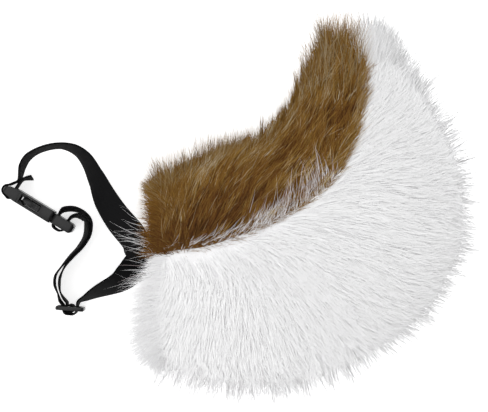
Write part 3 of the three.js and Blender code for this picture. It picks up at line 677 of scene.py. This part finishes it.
share = .005 + .85 * brown_rng.random(BROWN_GUARD_HAIRS) ** 1.4
angle = brown_rng.uniform(10, seam_angle(share) - 1)
lay = np.radians(brown_comb(share, angle) + 8 * brown_rng.normal(size=BROWN_GUARD_HAIRS))
hairs = bowed_hairs(brown_rng, share, angle, np.stack([np.cos(lay), np.sin(lay), .42 + 0 * lay], 1),
                    np.stack([np.cos(lay - .3), np.sin(lay - .3), .12 + 0 * lay], 1),
                    brown_rng.uniform(14, 28, BROWN_GUARD_HAIRS) * MM, .3 * MM,
                    .8 + .08 * brown_rng.normal(size=BROWN_GUARD_HAIRS))
hair_mesh("brown_guard_hairs", hairs, brown_hair)

share = 1 - .17 * brown_rng.random(BROWN_TUFT_HAIRS) ** 1.7
angle = brown_rng.uniform(-20, seam_angle(share) + 3)
fan = -.02 - .32 * ramp(angle, -10, 90)
sweep = np.stack([1 + 0 * fan, .6 * fan, .05 + 0 * fan], 1)
turned = np.stack([1 + 0 * fan, .45 * brown_rng.normal(size=BROWN_TUFT_HAIRS) + fan, 0 * fan], 1)
hairs = bowed_hairs(brown_rng, share, angle, sweep, turned,
                    (14 + 30 * brown_rng.random(BROWN_TUFT_HAIRS) ** 1.8) * MM, .46 * MM,
                    .68 + .15 * brown_rng.normal(size=BROWN_TUFT_HAIRS), spread=.8,
                    stations=SHORT_HAIR_STATIONS)
hair_mesh("brown_tip_tuft", hairs, brown_hair)


# ---- The hairs that cross the seam.
# Two fur fabrics sewn edge to edge, with the hair brushed out of the stitches: short brown hairs lie
# over the white edge, and long white guard hairs stand out of the seam and lie up over the brown.
BROWN_SEAM_HAIRS, WHITE_SEAM_HAIRS = 2300, 1250
share = brown_rng.uniform(.02, .97, BROWN_SEAM_HAIRS)
angle = seam_angle(share) - brown_rng.uniform(-1.5, 7, BROWN_SEAM_HAIRS)
far = ramp(share, .35, .5)
reach = (7 + 5 * brown_rng.random(BROWN_SEAM_HAIRS)
         + 12 * (brown_rng.random(BROWN_SEAM_HAIRS) > .9) * far)
sweep = np.stack([.9 + 0 * far, .15 - .4 * far, .35 + 0 * far], 1)
turned = np.stack([.95 - .1 * far, -.35 - .3 * far, -.05 + 0 * far], 1)
hairs = bowed_hairs(brown_rng, share, angle, sweep, turned, reach * MM, .42 * MM,
                    .42 + .14 * far + .012 * reach + .07 * brown_rng.normal(size=BROWN_SEAM_HAIRS),
                    spread=1.3)
hair_mesh("brown_over_seam", hairs, brown_hair)

share = .004 + .6 * white_rng.random(WHITE_SEAM_HAIRS) ** .8
angle = seam_angle(share) + white_rng.uniform(-5, 4, WHITE_SEAM_HAIRS)
guard = (np.clip(white_rng.exponential(.5, WHITE_SEAM_HAIRS), .3, 2)
         * (.7 + .3 * ramp(share, .1, .3)))
tone = .55 - .3 * np.clip(guard, 0, 1.6) + .12 * white_rng.normal(size=WHITE_SEAM_HAIRS)
hairs = bowed_hairs(white_rng, share, angle, [.8, .4, .42], [.7, .75, .05], 17 * MM * guard, .32 * MM,
                    tone, spread=1.8)
hair_mesh("seam_guard_hairs", hairs, white_hair)


# ---- The belt webbing.
# One length of 25 mm black webbing: its loose end is sewn back at the buckle's socket, it crosses
# the root of the tail, goes down through the slider, round the plug and back to the slider's bar.
WEB_WIDTH, WEB_THICKNESS, SEAT_GAP = 25, 1.5, .35
LOOP_REACH, LOOP_SPREAD = 110, 90
BAND_TOP, BAND_BOTTOM, BAND_Y = 59, 27, 1
BUCKLE_HEIGHT, SLIDER_HEIGHT = 16.75, 15.5
BUCKLE_TURN, SLIDER_TURN = math.radians(-31.5), math.radians(-4)
END_BAR, SLOT_LENGTH, SOCKET_HALF, PLUG_HALF = 6.6, 2.7, 5.05, 4.1
NEAR_SLOT, FAR_SLOT = 48.25, 57.05
WEB_STEP = 1.6
layer = WEB_THICKNESS + SEAT_GAP
stops = []


def stop(place, height, lean=0., bearing=0.):
    """A place on the webbing's middle, and the way its upper edge leans from the vertical."""
    tip, way = math.radians(lean), math.radians(bearing)
    stops.append((*place, height, math.sin(tip) * math.cos(way), math.sin(tip) * math.sin(way),
                  math.cos(tip)))


def turned_by(turn, at, along, off):
    """A place in plan, from lengths along and off a fitting that lies turned at a place."""
    return (at[0] + along * math.cos(turn) - off * math.sin(turn),
            at[1] + along * math.sin(turn) + off * math.cos(turn))


def in_loop(across, up):
    """A place in plan in the belt's loop, as shares of its reach and its spread."""
    return across * LOOP_REACH, up * LOOP_SPREAD


def in_buckle(along, off):
    return turned_by(BUCKLE_TURN, in_loop(-.99, .623), along, off)


def in_slider(along, off):
    return turned_by(SLIDER_TURN, in_loop(-.513, -.452), along, off)


def between(low, high, share):
    return low + (high - low) * share


# Sewn back round the socket's end bar.
wrap = END_BAR / 2 + SEAT_GAP + WEB_THICKNESS / 2
sewn_at = 5 * END_BAR / 3
socket_slot = END_BAR + SLOT_LENGTH / 2
ahead = socket_slot + .25
for along, off, lean in ((ahead + 6.2, sewn_at + 7.6, 9), (ahead + 3.2, sewn_at + 5.2, 7),
                         (ahead + .7, sewn_at + 2.4, 3)):
    stop(in_buckle(along, off), BUCKLE_HEIGHT, lean, 60)
for along, off in ((ahead, sewn_at), (socket_slot, SOCKET_HALF), (socket_slot, 0),
                   (socket_slot, -.86 * wrap), (END_BAR + .2, -1.24 * wrap), (END_BAR * .75, -1.16 * wrap)):
    stop(in_buckle(along, off), BUCKLE_HEIGHT)
for turn in range(262, 109, -25):
    stop(in_buckle(END_BAR / 2 + wrap * math.cos(math.radians(turn)), wrap * math.sin(math.radians(turn))),
         BUCKLE_HEIGHT)
stop(in_buckle(ahead - layer - 2.2, sewn_at - 3.6), BUCKLE_HEIGHT)
stop(in_buckle(ahead - layer, sewn_at), BUCKLE_HEIGHT)

# The long arm: across, up, share of the climb to the band, lean, bearing.
for across, up, rise, lean, bearing in (
        (-.862, .82, 0, 9, 170), (-.822, .90, 0, 10, 150), (-.73, .967, 0, 8, 110), (-.59, 1, 0, 9, 85),
        (-.475, .96, .03, 18, 60), (-.396, .87, .10, 26, 40), (-.324, .71, .25, 33, 25),
        (-.258, .54, .46, 48, 28), (-.16, .36, .74, 60, 38), (-.04, .19, 1.06, 72, 50)):
    stop(in_loop(across, up), between(BUCKLE_HEIGHT, BAND_TOP, rise), lean, bearing)

# The band on the root: off the root, shift along it, height, lean, bearing.
band_x = ROOT[0] / MM - SEAT_GAP - WEB_THICKNESS / 2
for off, shift, height, lean, bearing in (
        (16, 10, BAND_TOP + 6.5, 82, 52), (11, 4.8, BAND_TOP + 6.6, 88, 62),
        (5.4, 1.3, BAND_TOP + 6.2, 90, 76), (1.5, .2, BAND_TOP + 3.8, 90, 88), (0, 0, BAND_TOP, 90, 90),
        (0, 0, BAND_TOP - 7, 90, 90), (0, 0, BAND_BOTTOM + 7, 90, 90), (0, 0, BAND_BOTTOM, 90, 90),
        (1.5, -.1, BAND_BOTTOM - 3.8, 90, 92), (5.4, -1.2, BAND_BOTTOM - 6.2, 90, 103),
        (11, -4.2, BAND_BOTTOM - 6.8, 88, 116), (17.5, -8, BAND_BOTTOM - 7, 82, 127)):
    stop((band_x - off, BAND_Y + shift), height, lean, bearing)

# The short arm down to the slider.
for across, up, rise, lean, bearing in (
        (-.078, -.138, .42, 59, 133), (-.148, -.212, .35, 45, 135), (-.296, -.296, .2, 26, 128),
        (-.39, -.355, .05, 12, 130)):
    stop(in_loop(across, up), between(SLIDER_HEIGHT, BAND_BOTTOM, rise), lean, bearing)

# Down through the slider, under the end that is sewn round its middle bar.
inner_turn = 1.75 + SEAT_GAP + WEB_THICKNESS / 2
inner_drop = 1.6 + SEAT_GAP + WEB_THICKNESS / 2
outer_turn, outer_drop = inner_turn + layer + .75, inner_drop + layer
stop(in_slider(outer_turn + .7, 5.4), SLIDER_HEIGHT, 3, 130)
for along, off in ((1.03, 1.8), (1, 0), (.86, -.66 * outer_drop), (.5, -outer_drop), (0, -outer_drop),
                   (-.5, -outer_drop), (-.86, -.66 * outer_drop), (-1, 0), (-1.03, 1.8)):
    stop(in_slider(along * outer_turn, off), SLIDER_HEIGHT)

# The doubled stretch: across, up, half the room between the layers in thicknesses, lean.
DOUBLED = np.array([
    (-.573, -.378, 1.0, 0), (-.596, -.315, .62, 4), (-.611, -.24, 1.0, 1), (-.605, -.165, 1.05, 1),
    (-.563, -.074, .56, 5), (-.506, .011, .52, 9), (-.44, .098, .52, 12), (-.392, .195, .56, 13),
    (-.381, .265, .8, 10)])


def doubled(side):
    """One layer of the doubled stretch. side: 1 for the one to the right on the way to the plug."""
    middle = DOUBLED[:, :2] * (LOOP_REACH, LOOP_SPREAD)
    way = unit(np.vstack([middle[1:], middle[-1:]]) - np.vstack([middle[:1], middle[:-1]]))
    off = np.stack([way[:, 1], -way[:, 0]], 1) * (side * DOUBLED[:, 2:3] * layer)
    return list(zip((middle + off).tolist(), DOUBLED[:, 3]))


for place, lean in doubled(-1):
    stop(place, SLIDER_HEIGHT, lean, 20)

# Round the plug's bar and back.
for across, up, lean, bearing in ((-.402, .33, 9, 40), (-.448, .373, 9, 70), (-.494, .37, 4, 90)):
    stop(in_loop(across, up), BUCKLE_HEIGHT, lean, bearing)
under_plug = PLUG_HALF + 1.6 + WEB_THICKNESS / 2
for along, off in ((1, PLUG_HALF + .6), (1, 0), (.98, -.78 * under_plug), (.8, -.99 * under_plug),
                   (.5, -1.04 * under_plug), (.2, -.99 * under_plug), (.02, -.78 * under_plug), (0, 0),
                   (0, PLUG_HALF + .8)):
    stop(in_buckle(between(NEAR_SLOT, FAR_SLOT, along), off), BUCKLE_HEIGHT)
for across, up, lean, bearing in ((-.562, .428, 8, 100), (-.487, .436, 9, 80), (-.417, .402, 8, 50),
                                  (-.372, .342, 8, 20)):
    stop(in_loop(across, up), BUCKLE_HEIGHT, lean, bearing)
for place, lean in reversed(doubled(1)):
    stop(place, SLIDER_HEIGHT, lean, 20)

# Sewn round the slider's middle bar.
for along, off in ((-1.05, 4.6), (-1, 1.6), (-1, 0), (-.84, -.76 * inner_drop), (-.4, -inner_drop),
                   (.4, -inner_drop), (.84, -.76 * inner_drop), (1, 0), (.84, .76 * inner_drop),
                   (.4, inner_drop), (-.28, inner_drop + .1)):
    stop(in_slider(along * inner_turn, off), SLIDER_HEIGHT)


def through(points, places):
    """Points and ways of a centripetal Catmull-Rom curve, at places counted in stops."""
    ends = np.vstack([2 * points[:1] - points[1:2], points, 2 * points[-1:] - points[-2:-1]])
    room = np.sqrt(np.linalg.norm(np.diff(ends, axis=0), axis=1))[:, None]
    first = np.minimum(places.astype(int), len(points) - 2)
    t = (places - first)[:, None]
    a, b, c, d = (ends[first + k] for k in range(4))
    ab, bc, cd = (room[first + k] for k in range(3))
    start = bc * ((b - a) / ab - (c - a) / (ab + bc) + (c - b) / bc)
    end = bc * ((c - b) / bc - (d - b) / (bc + cd) + (d - c) / cd)
    square, cube = -3 * b + 3 * c - 2 * start - end, 2 * b - 2 * c + start + end
    return b + start * t + square * t ** 2 + cube * t ** 3, unit(start + 2 * square * t + 3 * cube * t ** 2)


stops = np.array(stops)
room = np.linalg.norm(np.diff(stops[:, :3], axis=0), axis=1)
places = np.concatenate([i + np.arange(max(2, round(r / WEB_STEP))) / max(2, round(r / WEB_STEP))
                         for i, r in enumerate(room)] + [[len(stops) - 1]])
web_middle, web_way = through(stops[:, :3], places)
web_across = np.stack([np.interp(places, np.arange(len(stops)), stops[:, k]) for k in (3, 4, 5)], 1)
web_across = unit(web_across - web_way * (web_across * web_way).sum(1)[:, None])
web_face = np.cross(web_way, web_across)
web_run = np.concatenate([[0], np.cumsum(np.linalg.norm(np.diff(web_middle, axis=0), axis=1))])

# Its section: flat faces and rounded selvedges, as share of half the width and of half the thickness.
SECTION = np.array([(-1, .3), (-.975, .78), (-.93, 1), (-.5, .96), (0, .98), (.5, .96), (.93, 1),
                    (.975, .78), (1, .3)])
section = np.vstack([SECTION * (1, 1), SECTION[::-1] * (1, -1)]) * (-WEB_WIDTH / 2, WEB_THICKNESS / 2)
rings = (web_middle[:, None] + web_across[:, None] * section[None, :, :1]
         + web_face[:, None] * section[None, :, 1:])


def webbing_weave():
    """A herringbone of fine ribs: Along and Across in metres in, its height out."""
    group = bpy.data.node_groups.new("webbing_weave", "ShaderNodeTree")
    for name in ("Along", "Across", "Rib"):
        group.interface.new_socket(name, in_out="INPUT", socket_type="NodeSocketFloat")
    group.interface.new_socket("Height", in_out="OUTPUT", socket_type="NodeSocketFloat")
    nodes, links = group.nodes, group.links
    given, put_out = nodes.new("NodeGroupInput"), nodes.new("NodeGroupOutput")

    def math_node(kind, a, b=None, c=None):
        node = nodes.new("ShaderNodeMath")
        node.operation = kind
        for socket, value in zip(node.inputs, (a, b, c)):
            if isinstance(value, (int, float)):
                socket.default_value = value
            elif value is not None:
                links.new(value, socket)
        return node.outputs["Value"]

    cord_width, column_width = 1.05 * MM, 2.1 * MM
    column = math_node("PINGPONG", given.outputs["Across"], column_width)
    phase = math_node("DIVIDE", math_node("ADD", given.outputs["Along"], column), given.outputs["Rib"])
    rib = math_node("SINE", math_node("MULTIPLY", phase, 2 * math.pi))
    cord = math_node("SINE", math_node("MULTIPLY", given.outputs["Across"], 2 * math.pi / cord_width))
    height = math_node("MULTIPLY_ADD", cord, .2, math_node("MULTIPLY", rib, .3))
    links.new(math_node("ADD", height, .5), put_out.inputs["Height"])
    return group


def webbing_finish():
    """Dull black polypropylene yarn."""
    material, shader, nodes, links = new_finish("black_webbing", .85, Specular_IOR_Level=.08)
    laid = nodes.new("ShaderNodeUVMap")
    laid.uv_map = "laid_flat"
    split = nodes.new("ShaderNodeSeparateXYZ")
    weave = nodes.new("ShaderNodeGroup")
    weave.node_tree = webbing_weave()
    weave.inputs["Rib"].default_value = 1.5 * MM
    # The yarn's colour follows the weave's height: darker in its hollows as painted shade, and lighter on
    # its ribs as a painted sheen.
    colour = nodes.new("ShaderNodeMix")
    colour.data_type = "RGBA"
    colour.inputs[6].default_value = (.002, .002, .0025, 1)
    colour.inputs[7].default_value = (.009, .009, .0095, 1)
    bump = nodes.new("ShaderNodeBump")
    bump.inputs["Strength"].default_value = .7
    bump.inputs["Distance"].default_value = .3 * MM
    links.new(laid.outputs["UV"], split.inputs["Vector"])
    links.new(split.outputs["X"], weave.inputs["Along"])
    links.new(split.outputs["Y"], weave.inputs["Across"])
    links.new(weave.outputs["Height"], colour.inputs["Factor"])
    links.new(colour.outputs[2], shader.inputs["Base Color"])
    links.new(weave.outputs["Height"], bump.inputs["Height"])
    links.new(bump.outputs["Normal"], shader.inputs["Normal"])
    return material


count = len(section)
webbing = new_piece("belt_strap", rings * MM, loft_faces(len(rings), count), webbing_finish())
flat_map = np.stack(np.broadcast_arrays(web_run[:, None], section[None, :, 0]), 2).reshape(-1, 2) * MM
corner_of = np.zeros(len(webbing.data.loops), np.int32)
webbing.data.loops.foreach_get("vertex_index", corner_of)
layer_map = webbing.data.uv_layers.new(name="laid_flat")
layer_map.uv.foreach_set("vector", flat_map[corner_of].astype(np.float32).ravel())
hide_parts("belt_webbing")


# ---- The stitching of the webbing.
# Black polyester thread. The webbing's two loose ends are sewn down with bar tacks, close zigzags
# from edge to edge, and its band is sewn to the root with two rows of running stitches.
THREAD_HALF, THREAD_LIFT = .3, .05
TACK_WIDTH, TACK_LENGTH, TACK_PASSES = 20, 3.2, 34
STITCH, STITCH_EVERY, STITCH_ROW = 2.4, 3.4, 10.2


def on_strap(run, across, side):
    """Places on a face of the webbing, by length along it and distance from its middle, and the
    way out of that face."""
    middle, way_across, out = (np.stack([np.interp(run, web_run, way[:, k]) for k in range(3)], 1)
                               for way in (web_middle, web_across, web_face))
    return middle + way_across * across[:, None] + out * (side * (WEB_THICKNESS / 2 + THREAD_LIFT)), out


def thread_piece(name, run, across, side):
    """Stitches, each between two places: run and across hold a pair a stitch."""
    points, out = on_strap(run.ravel(), across.ravel(), side)
    along = np.repeat(unit(points[1::2] - points[::2]), 2, axis=0)
    wide = unit(np.cross(along, out))
    ring = np.stack([points + THREAD_HALF * (a * wide + b * out)
                     for a, b in ((1, 0), (0, .8), (-1, 0), (0, -.8))], 1)
    first = (8 * np.arange(len(run)))[:, None, None]
    faces = [(first + part).reshape(-1, part.shape[1]) for part in loft_faces(2, 4)]
    new_piece(name, ring * MM, faces, thread_finish)


thread_finish = new_finish("black_thread", .6, Base_Color=(.012, .012, .013, 1),
                           Specular_IOR_Level=.3)[0]
run_at = np.interp(np.arange(len(stops)), places, web_run)
for name, run, side in (("socket_bar_tack", run_at[3] + .6, 1),
                        ("slider_bar_tack", run_at[-1] - 3.4, -1)):
    swing = np.linspace(-TACK_WIDTH / 2, TACK_WIDTH / 2, TACK_PASSES)
    thread_piece(name, np.tile([run - TACK_LENGTH / 2, run + TACK_LENGTH / 2], (TACK_PASSES, 1)),
                 np.stack([swing, swing + TACK_WIDTH / TACK_PASSES], 1), side)
band = np.flatnonzero((np.abs(stops[:, 0] - band_x) < .01) & (stops[:, 2] > BAND_BOTTOM - 1))
row = np.arange(run_at[band[0]], run_at[band[-1]] - STITCH, STITCH_EVERY)
for name, offset in (("band_stitches_near", -STITCH_ROW), ("band_stitches_far", STITCH_ROW)):
    for side, face in ((1, "front"), (-1, "back")):
        thread_piece(name + "_" + face, np.stack([row, row + STITCH], 1),
                     np.full((len(row), 2), offset), side)


# ---- The buckle and the slider.
# A side-release buckle for 25 mm webbing, closed, and a three-bar slider. Each is moulded in one go
# in black acetal, slightly pebbled from the mould and with eased edges.
def moulded_plastic():
    material, shader, nodes, links = new_finish("black_acetal", .3, Specular_IOR_Level=.26)
    place = nodes.new("ShaderNodeTexCoord")
    grain = nodes.new("ShaderNodeTexNoise")
    grain.inputs["Scale"].default_value = 520
    grain.inputs["Detail"].default_value = 3
    bump = nodes.new("ShaderNodeBump")
    bump.inputs["Strength"].default_value = .3
    bump.inputs["Distance"].default_value = .15 * MM
    rough = nodes.new("ShaderNodeMapRange")
    rough.inputs["To Min"].default_value = .22
    rough.inputs["To Max"].default_value = .42
    colour = nodes.new("ShaderNodeMix")
    colour.data_type = "RGBA"
    colour.inputs[6].default_value = (.001, .001, .0012, 1)
    colour.inputs[7].default_value = (.014, .014, .0145, 1)
    links.new(place.outputs["Object"], grain.inputs["Vector"])
    links.new(grain.outputs["Fac"], bump.inputs["Height"])
    links.new(bump.outputs["Normal"], shader.inputs["Normal"])
    links.new(grain.outputs["Fac"], rough.inputs["Value"])
    links.new(rough.outputs["Result"], shader.inputs["Roughness"])
    links.new(grain.outputs["Fac"], colour.inputs["Factor"])
    links.new(colour.outputs[2], shader.inputs["Base Color"])
    return material


acetal = moulded_plastic()
for node in ("buckle_socket", "buckle_plug", "strap_slider"):
    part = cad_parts[node]
    part.data.materials.clear()
    part.data.materials.append(acetal)
    part.data.shade_smooth()
    weld = part.modifiers.new("weld", "WELD")
    weld.merge_threshold = .01 * MM
    eased = part.modifiers.new("eased_edges", "BEVEL")
    eased.width = .5 * MM
    eased.segments = 3
    eased.limit_method = "ANGLE"
    eased.angle_limit = math.radians(30)
    eased.harden_normals = True


# ---- The thumb pads and the window cheeks.
# Parts of the same two mouldings. The thumb pads of the plug swell out of the socket's windows, with
# grooves where the thumb slides, and cheeks inside the socket narrow each window before its pad.
BUCKLE_WIDTH, PAD_START, PAD_END, PAD_HALF, PAD_SWELL, PAD_GROOVE = 33.5, 17.6, 32.9, 2.6, .8, .32
PAD_ROWS, PAD_COLUMNS = 41, 25
WINDOW_START, WINDOW_HALF, CHEEK_REACH, CHEEK_GAP = 15, 3.6, 5, 1.5
run, off = np.meshgrid(np.linspace(0, 1, PAD_ROWS), np.linspace(-1, 1, PAD_COLUMNS), indexing="ij")
half = PAD_HALF * np.clip(run / .34, .12, 1) ** .6
grooved = ramp(run, .5, .56) * ramp(run, .97, .94) * ramp(np.abs(off), .9, .8)
crown = np.sqrt(np.clip(np.sin(np.pi * np.clip(run * 1.45, 0, 1) ** .8), 0, 1)) * (run < .69)
rise = (PAD_SWELL * (1 - off ** 2) * (.25 + .75 * crown)
        - PAD_GROOVE * grooved * (.5 + .5 * np.cos(3 * np.pi * off)))
edge_on = np.abs(off) == 1
for name, side in (("upper", 1), ("lower", -1)):
    along = PAD_START + (PAD_END - PAD_START) * run
    x, y = in_buckle(along, half * off)
    swelled = BUCKLE_WIDTH / 2 - .8 + np.where(edge_on, -1.4, rise)
    top = np.stack([x, y, BUCKLE_HEIGHT + side * swelled], 2)
    low = top.copy()
    low[:, :, 2] = BUCKLE_HEIGHT + side * (BUCKLE_WIDTH / 2 - 3.2)
    pad_rings = np.concatenate([top, low[:, ::-1]], 1)[:, ::side]
    pad_faces = loft_faces(PAD_ROWS, 2 * PAD_COLUMNS)
    new_piece("thumb_pad_" + name, pad_rings * MM, pad_faces, acetal)

    for cheek, turn in (("near", -1), ("far", 1)):
        cheek_rings = []
        for depth, swell in ((-1.1, 0), (-1.3, .3), (-1.7, .4), (-2.6, .4)):
            corners = [(WINDOW_START - .3, WINDOW_HALF + .3),
                       (WINDOW_START + CHEEK_REACH, WINDOW_HALF + .3),
                       (WINDOW_START + CHEEK_REACH - .8, CHEEK_GAP + 1.4 - swell),
                       (WINDOW_START - .3, CHEEK_GAP + .4 - swell)]
            level = BUCKLE_HEIGHT + side * (BUCKLE_WIDTH / 2 + depth)
            cheek_rings.append([(*in_buckle(along, turn * off), level)
                                for along, off in corners[::side * turn]])
        piece = new_piece("window_cheek_" + name + "_" + cheek, np.array(cheek_rings) * MM,
                          loft_faces(4, 4), acetal)


# ---- The studio.
# A white paper table under an even soft light, with one big softbox overhead and a small lamp low at
# the side, and a camera that looks straight down on the tail.
PIXEL = .8 * MM
FRAME_WIDTH, FRAME_HEIGHT = 488, 412
WAIST_PIXEL = (140, 258)
CAMERA_HEIGHT = 2.5
TABLE = 4
floor_mesh = bpy.data.meshes.new("table_top")
floor_mesh.from_pydata([(-TABLE, -TABLE, 0), (TABLE, -TABLE, 0), (TABLE, TABLE, 0), (-TABLE, TABLE, 0)], [],
                       [(0, 1, 2, 3)])
floor = bpy.data.objects.new("table_top", floor_mesh)
bpy.context.scene.collection.objects.link(floor)
floor_mesh.materials.append(new_finish("white_paper", .9, Base_Color=(.9, .9, .9, 1), Specular_IOR_Level=.1,
                                       Emission_Color=(1, 1, 1, 1), Emission_Strength=.62)[0])
floor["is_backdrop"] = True

world = bpy.data.worlds.new("soft_room")
bpy.context.scene.world = world
world.use_nodes = True
world.node_tree.nodes["Background"].inputs["Color"].default_value = (1, 1, 1, 1)
world.node_tree.nodes["Background"].inputs["Strength"].default_value = .77


def soft_light(name, at, aim, size, power):
    """A round lamp of a size in metres and a power in watts."""
    lamp = bpy.data.lights.new(name, "AREA")
    lamp.shape = "DISK"
    lamp.size = size
    lamp.energy = power
    light = bpy.data.objects.new(name, lamp)
    light.location = at
    light.rotation_euler = (Vector(aim) - Vector(at)).to_track_quat("-Z", "Y").to_euler()
    bpy.context.scene.collection.objects.link(light)


soft_light("overhead_softbox", (-.3, .2, 2), (0, 0, .04), 1.8, 12)
soft_light("side_lamp", (-1.1, -.9, 1.2), (-.17, 0, .02), .14, 3)

camera_data = bpy.data.cameras.new("camera")
camera = bpy.data.objects.new("camera", camera_data)
camera.location = ((FRAME_WIDTH / 2 - WAIST_PIXEL[0]) * PIXEL + waist_at[0],
                   (WAIST_PIXEL[1] - FRAME_HEIGHT / 2) * PIXEL + waist_at[1], CAMERA_HEIGHT + .03)
camera_data.sensor_width = 36
camera_data.lens = camera_data.sensor_width * CAMERA_HEIGHT / (FRAME_WIDTH * PIXEL)
camera_data.clip_end = 20
bpy.context.scene.collection.objects.link(camera)
bpy.context.scene.camera = camera
bpy.context.scene.view_settings.view_transform = "Standard"

low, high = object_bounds()
